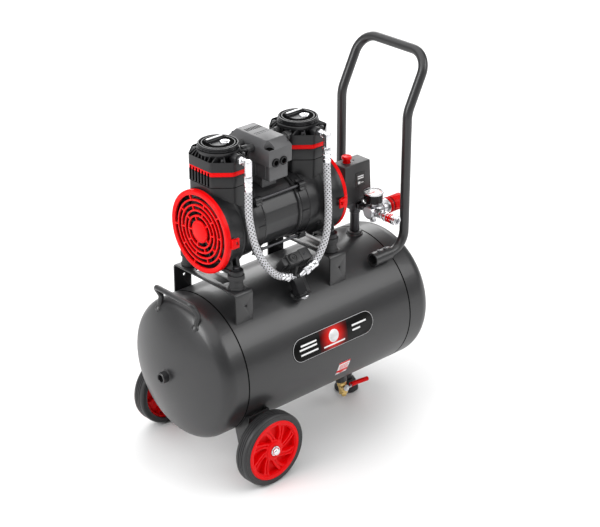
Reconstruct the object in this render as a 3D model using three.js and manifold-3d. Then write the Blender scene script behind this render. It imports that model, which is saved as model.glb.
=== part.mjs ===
// Portable twin-head oil-free air compressor on a horizontal tank.
// Millimetres, +Z up.  +X runs along the tank from the inspection port to the
// push handle, and -Y is the side that carries the hoses and the gauge.
// The design frame has its origin on the tank's axis, midway between the two
// weld seams.  The last lines move the finished group so that its origin is
// the centre of the footprint, on the floor.

import * as THREE from 'three';
import { mergeVertices } from 'three/addons/utils/BufferGeometryUtils.js';
import Module from 'manifold-3d';

const wasm = await Module();
wasm.setup();

// ---- Driving dimensions ----------------------------------------------------

const GAP = 0.3; // between pieces that touch

// Facets round a turn
const LARGE = 28;
const MEDIUM = 20;
const SMALL = 12;
const TINY = 8;

// Tank
const TANK_R = 134;
const TANK_WALL = 2.5;
const SEAM_X = 201.2; // each weld seam, from the middle of the tank
const FRONT_FLANGE = 25;
const REAR_FLANGE = 31;
const KNUCKLE_R = 30;
const CROWN_R = 268;
const PORT_R = 11;
const PORT_BORE_R = 7.5;
const PORT_LENGTH = 13;

// Wheels
const WHEEL_X = -SEAM_X + 34.2;
const WHEEL_Z = -TANK_R + 5.4;
const TYRE_R = 70.1;
const TYRE_WIDTH = 28;
const RIM_R = 57.7;
const WHEEL_FACE_Y = TANK_R + 27.3; // outer face of the rim
const AXLE_R = 7;
const AXLE_CAP_R = 10.5;
const WHEEL_WINDOWS = 8;
const WHEEL_FIT = 0.4; // running clearance of the hub on its axle
const BRACKET_X0 = WHEEL_X - 30;
const BRACKET_X1 = WHEEL_X + 19;
const BRACKET_SHEET = 4;
const BRACKET_TOP_Z = WHEEL_Z + 64.6;
const BRACKET_WEB_Y = TANK_R - 8;

// Foot
const FOOT_X = SEAM_X - 35.2;
const FOOT_POST_R = 11;
const FOOT_RUBBER_R = 23.5;
const FOOT_RUBBER_H = 24;

// Drain valve
const DRAIN_X = FOOT_X - 54;
const DRAIN_TILT = 16; // degrees from straight down towards -Y
const DRAIN_BOSS_R = 11;
const DRAIN_BOSS_LENGTH = 18;
const DRAIN_VALVE_R = 8.5;
const DRAIN_VALVE_LENGTH = 24;
const DRAIN_LEVER_LENGTH = 64;
const DRAIN_STEM_R = 3.2;
const DRAIN_GRIP_R = 4.8;
const DRAIN_GRIP_START = 21;

// Saddles and rubber mounts
const SADDLE_X = [-168.8, 56.6];
const SADDLE_WIDTH = 38.9;
const SADDLE_HALF_SPAN = 86.4;
const SADDLE_TOP_Z = TANK_R + 26.9;
const SADDLE_SHEET = 3;
const SADDLE_HOLE_Z = SADDLE_TOP_Z - 27.9;
const SADDLE_HOLE_R = 2.8;
const BUSH_Y = 65;
const BUSH_R = 15;
const BUSH_WAIST_R = 9;
const BUSH_HEIGHT = 27;

// Motor and pump, measured from the middle of the motor
const MOTOR_X = -53.5;
const BARREL_R = 60;
const MOTOR_Z = SADDLE_TOP_Z + BUSH_HEIGHT + BARREL_R + 7.4;
const BARREL_WALL = 6;
const BARREL_HALF = 43.2;
const BARREL_FLUTES = 10;
const DRUM_R = BARREL_R + 5;
const DRUM_WALL = 7;
const DRUM_LENGTH = 81;
const GUARD_R = DRUM_R + 11.6;
const GUARD_DEPTH = 18;
const GUARD_SHEET = 3;
const GUARD_BAND = 9; // width of the plain band round the grille
const GUARD_HUB_R = 20;
const GUARD_RINGS = 5;
const GUARD_RIBS = 4; // in each row, staggered from one row to the next
const GUARD_RIB = 3; // width of each rib and ring
const FAN_R = DRUM_R - 3;
const FAN_BLADES = 7;
const SHAFT_R = 8.5;
const ROTOR_R = 29;
const STATOR_R = BARREL_R - BARREL_WALL - 1;
const CRANK_THROW = 9;
const CRANK_PIN_R = 12;
const STROKE = 2 * CRANK_THROW;
const ROD_EYE_WALL = 4;
const BORE_R = 29;
const PISTON_R = 28.5;
const HEAD_OFFSET = 92.9; // each cylinder axis, from the middle of the motor
const HEAD_SHIFT = 4.5; // the castings stand this far towards +X of their cylinder
const HEAD_Y = 8;
const CAP_Y = 3;
const HEAD_HALF_X = 44;
const HEAD_HALF_Y = 55;
const HEAD_CORNER_X = 30;
const HEAD_CORNER_Y = 26;
const COLUMN_Z = MOTOR_Z + DRUM_R + 16.2; // where the cylinder casting steps in
const DECK_Z = COLUMN_Z + 26; // top of the cylinder casting
const NECK_HALF_Y = 40;
const FOOT_REACH = -22.4; // each foot, from its cylinder towards the end of the pump
const FOOT_PAD_R = 13;
const TIE_ROD_R = 2.6;
const TIE_ROD_RISE = 4; // tie-rod centres, outside the drum
const VALVE_PLATE = 7;
const HEAD_RIM_Z = DECK_Z + 27.5;
const HEAD_CAP_Z = HEAD_RIM_Z + 20;
const CAP_R = 36;
const CHAMBER_R = 27;
const OUTLET_PAD_R = 9;
const CAP_THICK = 8;

// Junction box between the heads
const BOX_TOP_Z = HEAD_RIM_Z + 14.5;
const BOX_BEVEL_Z = HEAD_RIM_Z;
const BOX_STEP_Z = HEAD_RIM_Z - 31;
const BOX_BASE_Z = MOTOR_Z + BARREL_R + 13.7;
const BOX_STEP = 5;
const GLAND_X = [-12, 6];
const GLAND_R = 5;
const BOX_HALF_X = 27;
const BOX_HALF_Y = 54;
const BOX_TOP_HALF_X = 20.5;
const BOX_TOP_HALF_Y = 40;
const TRANSFER_R = 5.8;
const TRANSFER_Z = HEAD_RIM_Z - 5;
const TRANSFER_Y = [-10.5, 16.5];

// Air line
const HOSE_R = 7;
const ELBOW_SIZE = 13;
const OUTLET_SHIFT = 3.5; // both outlets stand this far towards +X of their cylinder
const OUTLET_Z = HEAD_RIM_Z + 1;
const HOSE_POINTS = {
  front: [[-142.5, -70, 342], [-142.8, -70.5, 325], [-144, -72, 299], [-143.5, -77, 271],
    [-138, -80.5, 240], [-122, -84, 203], [-95, -86, 170], [-66, -83.5, 154.5]],
  rear: [[42, -70, 344], [41.8, -71, 320], [41, -74, 290], [38, -79, 250],
    [29, -84, 210], [12, -86, 178], [-6, -85.5, 160.5], [-16, -83.5, 155]],
};
const CHECK_X = -41;
const CHECK_RISE = 30; // the tee, above the tank's skin
const CHECK_ANGLE = 30; // degrees from straight up towards -Y
const CHECK_BODY_R = 13;
const CHECK_BODY_LENGTH = 34;
const COIL_X0 = -53;
const COIL_X1 = 0;
const COIL_SIZE = [21, 28]; // its upper face and its lower face, across
const COIL_TILT = 41; // degrees that its upper face falls towards -Y
const COIL_EDGE_Y = -80;
const COIL_EDGE_Z = TANK_R + 39;
const COIL_BOSS_R = 9;

// Outlet riser, pressure switch, regulator, gauge and coupler
const RISER_X = SEAM_X - 18.8;
const RISER_R = 7.4;
const RISER_BORE_R = 4.5;
const COLLAR_R = 14;
const MANIFOLD_Z = TANK_R + 62;
const MANIFOLD_SIZE = 22;
const SWITCH_X = RISER_X - 11.4;
const SWITCH_HALF_X = 35;
const SWITCH_HALF_Y = 20;
const SWITCH_BASE_Z = MANIFOLD_Z + 12;
const SWITCH_TOP_Z = SWITCH_BASE_Z + 77;
const SWITCH_DRAFT = 2.5;
const SWITCH_KNOB_R = 9.2;
const SWITCH_STEM_R = 8;
const SWITCH_KNOB_HEIGHT = 16;
const SWITCH_KNOB_BACK = 12; // the knob's place, from the middle of the switch
const SWITCH_KNOB_TRAVEL = 6;
const REGULATOR_Y = -48.5;
const REGULATOR_R = 12.5;
const REGULATOR_PLUG_R = 17;
const SPIGOT_R = 6;
const SPIGOT_LENGTH = 12;
const REGULATOR_FIT = 0.4;
const REGULATOR_KNOB_R = 15.5;
const REGULATOR_KNOB_LENGTH = 38;
const GAUGE_R = 19;
const GAUGE_HEIGHT = 21;
const GAUGE_DIAL_Z = MANIFOLD_Z + 40;
const COUPLER_R = 9.5;
const COUPLER_LENGTH = 52;
const COUPLER_TRAVEL = 5;
const COUPLER_BORE_R = 4.2;
const COUPLER_BORE_DEPTH = 16;

// Handles
const HANDLE_TUBE_R = 9;
const HANDLE_X = SEAM_X + 26.8;
const HANDLE_Y = 86;
const HANDLE_BEND_Z = TANK_R + 254;
const HANDLE_TOP_Z = HANDLE_BEND_Z + 102.5;
const HANDLE_LEAN = 0.5; // millimetres back for each millimetre up
const HANDLE_CORNER_R = 39;
const HANDLE_LEAN_R = 56;
const HANDLE_FOOT_R = 36;
const SOCKET_R = HANDLE_TUBE_R + 4;
const SOCKET_X0 = SEAM_X - 55.7;
const GRAB_R = 5;
const GRAB_HALF_Y = 51;
const GRAB_BAR = [-SEAM_X - 56.8, TANK_R + 18];
const GRAB_KNEE = [-SEAM_X - 43.8, TANK_R - 5];
const GRAB_ROOT = [-SEAM_X - 50.8, TANK_R - 34];

// ---- Colours ---------------------------------------------------------------

const FINISHES = {
  blackPaint: [0x2b2b2d, 0.45, 0.1],
  castGrey: [0x3a3a3c, 0.6, 0.2],
  blackPlastic: [0x1c1c1e, 0.55, 0],
  greyPlastic: [0x6d6d6f, 0.5, 0],
  redPlastic: [0xd40f14, 0.35, 0],
  rubber: [0x202022, 0.85, 0],
  chrome: [0xd8d8dc, 0.2, 1],
  steel: [0x9a9aa0, 0.4, 0.9],
  copper: [0xb06a3a, 0.4, 0.9],
  brass: [0xc9a24a, 0.3, 0.9],
  braid: [0xb9bbc0, 0.35, 0.9],
};

// ---- Geometry helpers ------------------------------------------------------

const UP = new THREE.Vector3(0, 0, 1);

function signedVolume(geometry) {
  const position = geometry.getAttribute('position');
  const index = geometry.getIndex();
  const corners = [new THREE.Vector3(), new THREE.Vector3(), new THREE.Vector3()];
  let volume = 0;
  for (let i = 0; i < index.count; i += 3) {
    corners.forEach((corner, k) => corner.fromBufferAttribute(position, index.getX(i + k)));
    volume += corners[0].dot(corners[1].clone().cross(corners[2])) / 6;
  }
  return volume;
}

// Position-only geometry with shared corners merged and every face pointing out.
function closed(source) {
  const geometry = source.clone();
  geometry.deleteAttribute('normal');
  geometry.deleteAttribute('uv');
  geometry.clearGroups();
  const merged = mergeVertices(geometry, 1e-4);
  const index = [];
  const old = merged.getIndex();
  for (let i = 0; i < old.count; i += 3) {
    const [a, b, c] = [old.getX(i), old.getX(i + 1), old.getX(i + 2)];
    if (a !== b && b !== c && c !== a) index.push(a, b, c);
  }
  merged.setIndex(index);
  if (signedVolume(merged) < 0) {
    for (let i = 0; i < index.length; i += 3) [index[i], index[i + 1]] = [index[i + 1], index[i]];
    merged.setIndex(index);
  }
  return merged;
}

function toSolid(source) {
  const geometry = closed(source);
  const vertProperties = Float32Array.from(geometry.getAttribute('position').array);
  const triVerts = Uint32Array.from(geometry.getIndex().array);
  return new wasm.Manifold(new wasm.Mesh({ numProp: 3, vertProperties, triVerts }));
}

function toGeometry(solid) {
  const mesh = solid.getMesh();
  const geometry = new THREE.BufferGeometry();
  geometry.setAttribute('position', new THREE.BufferAttribute(mesh.vertProperties, 3));
  geometry.setIndex(new THREE.BufferAttribute(mesh.triVerts, 1));
  return geometry;
}

function join(...pieces) {
  return toGeometry(pieces.map(toSolid).reduce((sum, piece) => sum.add(piece)));
}

function cut(base, ...tools) {
  return toGeometry(tools.map(toSolid).reduce((rest, tool) => rest.subtract(tool), toSolid(base)));
}

function overlapOf(first, second) {
  return toGeometry(toSolid(first).intersect(toSolid(second)));
}

function mirroredX(geometry) {
  return closed(geometry.clone().scale(-1, 1, 1));
}

function mirroredY(geometry) {
  return closed(geometry.clone().scale(1, -1, 1));
}

// Turns a geometry built along +Z so that it runs along the given direction.
function aimed(geometry, direction) {
  const turn = new THREE.Quaternion().setFromUnitVectors(UP, direction.clone().normalize());
  return geometry.applyQuaternion(turn);
}

const DIRECTIONS = {
  x: new THREE.Vector3(1, 0, 0),
  y: new THREE.Vector3(0, 1, 0),
  z: new THREE.Vector3(0, 0, 1),
};

// A round bar from one point to another.
function bar(from, to, radius, sides = TINY) {
  const start = new THREE.Vector3(...from);
  const span = new THREE.Vector3(...to).sub(start);
  const length = span.length();
  const geometry = new THREE.CylinderGeometry(radius, radius, length, sides);
  geometry.rotateX(Math.PI / 2).translate(0, 0, length / 2);
  return aimed(geometry, span).translate(...from);
}

function block(x0, x1, y0, y1, z0, z1) {
  const geometry = new THREE.BoxGeometry(x1 - x0, y1 - y0, z1 - z0);
  return geometry.translate((x0 + x1) / 2, (y0 + y1) / 2, (z0 + z1) / 2);
}

// A solid of revolution. The profile lists [distance along the axis, radius].
function turned(profile, axis, sides = MEDIUM) {
  const points = profile.map(([along, radius]) => new THREE.Vector2(radius, along));
  const first = points[0];
  const last = points[points.length - 1];
  if (first.x > 0 && !first.equals(last)) points.push(first.clone());
  const geometry = new THREE.LatheGeometry(points, sides).rotateX(Math.PI / 2);
  return closed(aimed(geometry, DIRECTIONS[axis]));
}

// A straight pipe along an axis, centred on that axis.
function pipe(start, end, outer, inner, axis, sides = MEDIUM) {
  return turned([[start, inner], [start, outer], [end, outer], [end, inner]], axis, sides);
}

// A closed outline in the XY plane, pulled up from z0 to z1.
function prism(outline, z0, z1) {
  const shape = new THREE.Shape(outline.map(([x, y]) => new THREE.Vector2(x, y)));
  const geometry = new THREE.ExtrudeGeometry(shape, { depth: z1 - z0, bevelEnabled: false });
  return closed(geometry.translate(0, 0, z0));
}

// The same outline drawn in the YZ plane and pulled from x0 to x1.
function prismX(outline, x0, x1) {
  const swapped = prism(outline, x0, x1);
  return swapped.applyMatrix4(new THREE.Matrix4().makeBasis(DIRECTIONS.y, DIRECTIONS.z, DIRECTIONS.x));
}

// A section that shrinks from one rectangle to another between two heights.
function frustum(half0, z0, half1, z1, centre = [0, 0]) {
  const geometry = new THREE.BoxGeometry(2, 2, z1 - z0).translate(0, 0, (z0 + z1) / 2);
  const position = geometry.getAttribute('position');
  for (let i = 0; i < position.count; i += 1) {
    const half = Math.abs(position.getZ(i) - z0) < 1e-6 ? half0 : half1;
    position.setX(i, centre[0] + position.getX(i) * half[0]);
    position.setY(i, centre[1] + position.getY(i) * half[1]);
  }
  return geometry;
}

// A wire path: straight runs between corners, each corner rounded by an arc.
// Its stations, not its millimetres, are spaced evenly, so straight runs cost
// one step each and every bend gets the same few.
class BentPath extends THREE.Curve {
  constructor(corners, bendRadii, bendSteps) {
    super();
    const points = corners.map((corner) => new THREE.Vector3(...corner));
    this.stations = [points[0]];
    this.tangents = [points[1].clone().sub(points[0]).normalize()];
    for (let i = 1; i < points.length - 1; i += 1) this.addBend(points, i, bendRadii[i - 1], bendSteps);
    this.stations.push(points[points.length - 1]);
    this.tangents.push(this.tangents[this.tangents.length - 1].clone());
  }

  addBend(points, i, radius, steps) {
    const into = points[i].clone().sub(points[i - 1]).normalize();
    const out = points[i + 1].clone().sub(points[i]).normalize();
    const angle = into.angleTo(out);
    const reach = radius * Math.tan(angle / 2);
    const start = points[i].clone().addScaledVector(into, -reach);
    const inward = out.clone().addScaledVector(into, -Math.cos(angle)).normalize();
    const centre = start.clone().addScaledVector(inward, radius);
    for (let k = 0; k <= steps; k += 1) {
      const turn = (angle * k) / steps;
      const spoke = inward.clone().multiplyScalar(-Math.cos(turn)).addScaledVector(into, Math.sin(turn));
      const tangent = into.clone().multiplyScalar(Math.cos(turn)).addScaledVector(inward, Math.sin(turn));
      this.stations.push(centre.clone().addScaledVector(spoke, radius));
      this.tangents.push(tangent);
    }
  }

  between(list, t) {
    const place = t * (list.length - 1);
    const i = Math.min(Math.floor(place), list.length - 2);
    return list[i].clone().lerp(list[i + 1], place - i);
  }

  getPoint(t) {
    return this.between(this.stations, t);
  }

  getTangent(t) {
    return this.between(this.tangents, t).normalize();
  }

  getUtoTmapping(u) {
    return u;
  }
}

function roundSection(radius) {
  return new THREE.Shape().absarc(0, 0, radius, 0, 2 * Math.PI, false);
}

function sweep(path, radius, steps, sides = TINY) {
  const options = { steps, extrudePath: path, curveSegments: sides / 2, bevelEnabled: false };
  return closed(new THREE.ExtrudeGeometry(roundSection(radius), options));
}

function bentRod(corners, radius, bendRadii, bendSteps, sides) {
  const path = new BentPath(corners, bendRadii, bendSteps);
  return sweep(path, radius, path.stations.length - 1, sides);
}

const degrees = THREE.MathUtils.degToRad;

// ---- The assembly ----------------------------------------------------------

const compressor = new THREE.Group();
compressor.name = 'air_compressor';
const assembly = new THREE.Group();
compressor.add(assembly);

const materials = {};
for (const [finish, [color, roughness, metalness]] of Object.entries(FINISHES)) {
  materials[finish] = new THREE.MeshStandardMaterial({ color, roughness, metalness });
}

function add(name, geometry, finish, parent = assembly) {
  const shaped = closed(geometry);
  shaped.computeVertexNormals();
  const mesh = new THREE.Mesh(shaped, materials[finish]);
  mesh.name = name;
  parent.add(mesh);
  return mesh;
}

// ---- Tank ------------------------------------------------------------------

const floorZ = WHEEL_Z - TYRE_R;
const drainAngle = degrees(DRAIN_TILT);
const drainDirection = new THREE.Vector3(0, -Math.sin(drainAngle), -Math.cos(drainAngle));

// The drain valve's axis leans, so its side faces a little upwards.
const drainSide = new THREE.Vector3(0, -Math.cos(drainAngle), Math.sin(drainAngle));

// A point of the drain valve: its distance from the tank's axis, its place
// along the tank, and how far it stands out to the valve's side.
function drainPoint(radius, x = DRAIN_X, out = 0) {
  const y = drainDirection.y * radius + drainSide.y * out;
  const z = drainDirection.z * radius + drainSide.z * out;
  return [x, y, z];
}

// Outline of a dished head, from the rim of its flange to its crown, inset by
// a wall thickness. Distances run outwards from the open rim.
function headArc(flange, inset) {
  const knuckle = KNUCKLE_R - inset;
  const crown = CROWN_R - inset;
  const offset = TANK_R - KNUCKLE_R;
  const rise = Math.sqrt((CROWN_R - KNUCKLE_R) ** 2 - offset ** 2);
  const meeting = Math.atan2(offset, rise);
  const arc = [[0, TANK_R - inset]];
  const knuckleSteps = 3;
  for (let i = 0; i <= knuckleSteps; i += 1) {
    const angle = Math.PI / 2 + ((meeting - Math.PI / 2) * i) / knuckleSteps;
    arc.push([flange + knuckle * Math.cos(angle), offset + knuckle * Math.sin(angle)]);
  }
  const crownSteps = 3;
  for (let i = 1; i <= crownSteps; i += 1) {
    const angle = meeting * (1 - i / crownSteps);
    arc.push([flange - rise + crown * Math.cos(angle), crown * Math.sin(angle)]);
  }
  return arc;
}

function headDepth(flange) {
  const outer = headArc(flange, 0);
  return outer[outer.length - 1][0];
}

// A dished head whose open rim stands at x = 0 and whose crown points to +X.
function dishedHead(flange) {
  const inner = headArc(flange, TANK_WALL);
  const outer = headArc(flange, 0);
  return turned([...inner.reverse(), ...outer], 'x', LARGE);
}

function addTank() {
  const shell = pipe(-SEAM_X, SEAM_X, TANK_R, TANK_R - TANK_WALL, 'x', LARGE);
  const inside = TANK_R - TANK_WALL / 2;
  const collarTop = TANK_R + 7;
  const riserCollar = bar([RISER_X, 0, inside], [RISER_X, 0, collarTop], COLLAR_R, SMALL);
  const riserBore = bar([RISER_X, 0, TANK_R - 14], [RISER_X, 0, collarTop + 1], RISER_R + GAP, SMALL);
  const drainBoss = bar(drainPoint(inside), drainPoint(TANK_R + DRAIN_BOSS_LENGTH), DRAIN_BOSS_R, SMALL);
  const drainBore = bar(drainPoint(TANK_R - 14), drainPoint(TANK_R + DRAIN_BOSS_LENGTH + 1), 5);
  const welded = cut(join(shell, riserCollar, drainBoss), riserBore, drainBore);
  add('tank_shell', welded, 'blackPaint');

  const frontHead = mirroredX(dishedHead(FRONT_FLANGE)).translate(-SEAM_X - GAP, 0, 0);
  const crownX = -SEAM_X - GAP - headDepth(FRONT_FLANGE);
  const neck = bar([crownX + 1, 0, 0], [crownX - PORT_LENGTH, 0, 0], PORT_R, SMALL);
  const mouth = bar([crownX + 6, 0, 0], [crownX - PORT_LENGTH - 1, 0, 0], PORT_BORE_R, SMALL);
  add('tank_head_front', cut(join(frontHead, neck), mouth), 'blackPaint');

  const rearHead = dishedHead(REAR_FLANGE).translate(SEAM_X + GAP, 0, 0);
  add('tank_head_rear', rearHead, 'blackPaint');
}

// ---- Wheels and foot -------------------------------------------------------

// All wheel pieces are made for the -Y side and mirrored for the other one.
function bracketSolid() {
  const outer = -BRACKET_WEB_Y;
  const inner = outer + BRACKET_SHEET;
  const lowZ = WHEEL_Z - 24;
  const lip = outer + 26;
  const outline = [
    [-70, WHEEL_Z + 20.6], [lip, lowZ], [outer, lowZ], [outer, BRACKET_TOP_Z], [lip, BRACKET_TOP_Z],
    [-70, WHEEL_Z + 44.6],
  ];
  const solid = prismX(outline, BRACKET_X0, BRACKET_X1);
  const hollow = block(BRACKET_X0 + BRACKET_SHEET, BRACKET_X1 - BRACKET_SHEET, inner, 0, lowZ - 1, 0);
  const tank = bar([-SEAM_X - 60, 0, 0], [0, 0, 0], TANK_R + GAP, LARGE);
  const axleHole = bar([WHEEL_X, outer - 1, WHEEL_Z], [WHEEL_X, inner + 1, WHEEL_Z], AXLE_R + GAP, SMALL);
  return cut(solid, hollow, tank, axleHole);
}

function axleSolid() {
  const web = -BRACKET_WEB_Y;
  const shank = [WHEEL_X, -WHEEL_FACE_Y - 2, WHEEL_Z];
  const on = (y) => [WHEEL_X, y, WHEEL_Z];
  const nutInner = bar(on(web + BRACKET_SHEET + GAP), on(web + 13), 11, 6);
  const shoulder = bar(on(web - GAP), on(web - 4), 11, SMALL);
  const pin = bar(on(web + 13), shank, AXLE_R, SMALL);
  const cap = bar(on(-WHEEL_FACE_Y - 1.5), on(-WHEEL_FACE_Y - 8), AXLE_CAP_R, 6);
  return join(nutInner, shoulder, pin, cap);
}

function windowTool(angle) {
  const inner = 17.5;
  const outer = RIM_R - 8;
  const reach = Math.PI / WHEEL_WINDOWS;
  const swirl = 0.34;
  const outline = [];
  const steps = 2;
  const corner = (radius, turn) => [radius * Math.cos(turn), radius * Math.sin(turn)];
  for (let i = 0; i <= steps; i += 1) {
    const share = i / steps;
    const radius = inner + (outer - inner) * share;
    outline.push(corner(radius, angle - reach * 0.72 + swirl * share));
  }
  for (let i = steps; i >= 0; i -= 1) {
    const share = i / steps;
    const radius = inner + (outer - inner) * share;
    outline.push(corner(radius, angle + reach * 0.5 * (0.55 + 0.55 * share) + swirl * share));
  }
  return outline;
}

// The hub lies on the wheel's own axis: outer face at y = 0, body towards +Y.
function hubSolid() {
  const width = TYRE_WIDTH - 3;
  const bore = AXLE_R + WHEEL_FIT;
  const face = 8;
  const rim = turned([[0, RIM_R - 6], [0, RIM_R], [width, RIM_R], [width, RIM_R - 6]], 'y', LARGE);
  const web = turned([[2, bore], [2, RIM_R - 4], [face, RIM_R - 4], [face, bore]], 'y', LARGE);
  const boss = turned([[0, bore], [0, 15], [width + 4, 13], [width + 4, bore]], 'y', SMALL);
  const tools = [];
  for (let i = 0; i < WHEEL_WINDOWS; i += 1) {
    const tool = prism(windowTool((2 * Math.PI * i) / WHEEL_WINDOWS), -1, face + 1);
    tools.push(tool.rotateX(-Math.PI / 2));
  }
  return join(cut(web, ...tools), rim, boss);
}

function tyreSolid() {
  const inner = RIM_R + GAP;
  const shoulder = TYRE_R - 5;
  const profile = [
    [0, inner], [0, shoulder - 1], [3, TYRE_R - 1.5], [9, TYRE_R],
    [TYRE_WIDTH - 9, TYRE_R], [TYRE_WIDTH - 3, TYRE_R - 1.5], [TYRE_WIDTH, shoulder - 1], [TYRE_WIDTH, inner],
  ];
  return turned(profile, 'y', LARGE);
}

function addWheels() {
  const sides = { near: (geometry) => geometry, far: mirroredY };
  for (const [side, place] of Object.entries(sides)) {
    const onAxis = (geometry) => place(geometry.translate(WHEEL_X, -WHEEL_FACE_Y, WHEEL_Z));
    add(`wheel_bracket_${side}`, place(bracketSolid()), 'blackPaint');
    add(`axle_${side}`, place(axleSolid()), 'chrome');
    add(`wheel_hub_${side}`, onAxis(hubSolid()), 'redPlastic');
    add(`tyre_${side}`, onAxis(tyreSolid().translate(0, 0.5, 0)), 'rubber');
  }
}

function addFoot() {
  const top = -Math.sqrt(TANK_R ** 2 - FOOT_POST_R ** 2) + 6;
  const tank = bar([0, 0, 0], [SEAM_X, 0, 0], TANK_R + GAP, LARGE);
  const postEnd = floorZ + 10;
  const post = cut(bar([FOOT_X, 0, postEnd], [FOOT_X, 0, top], FOOT_POST_R, SMALL), tank);
  add('foot_post', post, 'blackPaint');
  const cupR = FOOT_POST_R + GAP;
  const profile = [
    [floorZ, 0], [floorZ, FOOT_RUBBER_R], [floorZ + 5, FOOT_RUBBER_R], [floorZ + 9, FOOT_RUBBER_R - 4],
    [floorZ + FOOT_RUBBER_H, FOOT_POST_R + 4], [floorZ + FOOT_RUBBER_H, cupR],
    [postEnd - GAP, cupR], [postEnd - GAP, 0],
  ];
  add('foot_rubber', turned(profile, 'z', MEDIUM).translate(FOOT_X, 0, 0), 'rubber');
}

// ---- Drain valve -----------------------------------------------------------

function addDrain() {
  const start = TANK_R + DRAIN_BOSS_LENGTH + GAP;
  const end = start + DRAIN_VALVE_LENGTH;
  const body = bar(drainPoint(start), drainPoint(end), DRAIN_VALVE_R, 8);
  const outlet = bar(drainPoint(end - 1), drainPoint(end + 4), DRAIN_VALVE_R - 3);
  const bore = bar(drainPoint(start + 4), drainPoint(end + 5), 3);
  const middle = (start + end) / 2;
  const face = DRAIN_VALVE_R + 1;
  const pad = bar(drainPoint(middle), drainPoint(middle, DRAIN_X, face - GAP), DRAIN_STEM_R + 3);
  const stemHole = bar(drainPoint(middle), drainPoint(middle, DRAIN_X, face + 1), DRAIN_STEM_R + GAP);
  add('drain_valve_body', cut(join(body, outlet, pad), bore, stemHole), 'brass');

  const armOut = face + 2.2;
  const stem = bar(drainPoint(middle, DRAIN_X, 3.6), drainPoint(middle, DRAIN_X, face + 5), DRAIN_STEM_R);
  const eye = bar(drainPoint(middle, DRAIN_X, face), drainPoint(middle, DRAIN_X, face + 3), DRAIN_STEM_R + 3);
  const elbow = drainPoint(middle, DRAIN_X + 13, armOut);
  const gripStart = drainPoint(middle, DRAIN_X + DRAIN_GRIP_START, 3);
  const gripEnd = drainPoint(middle + 4, DRAIN_X + DRAIN_LEVER_LENGTH, 2);
  const arm = bar(drainPoint(middle, DRAIN_X, armOut), elbow, 1.9, 6);
  const crank = bar(elbow, gripStart, 1.9, 6);
  const grip = bar(gripStart, gripEnd, DRAIN_GRIP_R);
  add('drain_lever', join(stem, eye, arm, crank, grip), 'redPlastic');
}

// ---- Saddles and rubber mounts ---------------------------------------------

function saddleSolid(centreX) {
  const x0 = centreX - SADDLE_WIDTH / 2;
  const x1 = centreX + SADDLE_WIDTH / 2;
  const span = SADDLE_HALF_SPAN;
  const low = Math.sqrt(TANK_R ** 2 - span ** 2) - 4.4;
  const top = SADDLE_TOP_Z;
  const bend = 5;
  const outline = [
    [-span, low], [-span, top - bend], [-span + bend * 0.3, top - bend * 0.3], [-span + bend, top],
    [span - bend, top], [span - bend * 0.3, top - bend * 0.3], [span, top - bend], [span, low],
  ];
  const inside = SADDLE_SHEET;
  const under = block(x0 - 1, x1 + 1, -span + inside, span - inside, low - 1, top - inside);
  const tank = bar([x0 - 1, 0, 0], [x1 + 1, 0, 0], TANK_R + GAP, LARGE);
  const holeX = centreX + 3;
  const holes = [-1, 1].map((side) => {
    const from = [holeX, side * (span - 6), SADDLE_HOLE_Z];
    return bar(from, [holeX, side * (span + 1), SADDLE_HOLE_Z], SADDLE_HOLE_R);
  });
  const bolts = [-1, 1].map((side) => (
    bar([centreX, side * BUSH_Y, top - 6], [centreX, side * BUSH_Y, top + 1], 4)));
  return cut(prismX(outline, x0, x1), under, tank, ...holes, ...bolts);
}

function bushSolid() {
  const flange = 6;
  const profile = [
    [0, 0], [0, BUSH_R], [flange, BUSH_R], [flange + 3, BUSH_WAIST_R],
    [BUSH_HEIGHT - flange - 2, BUSH_WAIST_R], [BUSH_HEIGHT - flange, BUSH_R - 1],
    [BUSH_HEIGHT, BUSH_R - 1], [BUSH_HEIGHT, 0],
  ];
  return turned(profile, 'z', SMALL);
}

function addSaddles() {
  const names = ['front', 'rear'];
  SADDLE_X.forEach((centreX, i) => {
    add(`saddle_${names[i]}`, saddleSolid(centreX), 'blackPaint');
    for (const [side, y] of [['near', -BUSH_Y], ['far', BUSH_Y]]) {
      const bush = bushSolid().translate(centreX, y, SADDLE_TOP_Z + GAP);
      add(`rubber_mount_${names[i]}_${side}`, bush, 'rubber');
    }
  });
}

// ---- Motor and pump --------------------------------------------------------

// Everything of the pump is made about the motor's middle. Its front half lies
// towards -X, and the rear half is its mirror image.
const pump = new THREE.Group();
pump.position.set(MOTOR_X, 0, MOTOR_Z);
assembly.add(pump);

const drumX0 = -BARREL_HALF - GAP - DRUM_LENGTH;
const drumX1 = -BARREL_HALF - GAP;
const deckZ = DECK_Z - MOTOR_Z;

// The eight-sided outline of a cylinder's castings. The shift is along X.
function headOutline(shift) {
  const x0 = -HEAD_OFFSET + shift - HEAD_HALF_X;
  const x1 = -HEAD_OFFSET + shift + HEAD_HALF_X;
  const y0 = HEAD_Y - HEAD_HALF_Y;
  const y1 = HEAD_Y + HEAD_HALF_Y;
  return [
    [x0, y0 + HEAD_CORNER_Y], [x0 + HEAD_CORNER_X, y0], [x1 - HEAD_CORNER_X, y0], [x1, y0 + HEAD_CORNER_Y],
    [x1, y1 - HEAD_CORNER_Y], [x1 - HEAD_CORNER_X, y1], [x0 + HEAD_CORNER_X, y1], [x0, y1 - HEAD_CORNER_Y],
  ].reverse();
}

function tieRodPlaces() {
  const radius = DRUM_R + TIE_ROD_RISE;
  return [45, 135, 225, 315].map((angle) => (
    [radius * Math.cos(degrees(angle)), radius * Math.sin(degrees(angle))]));
}

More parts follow.
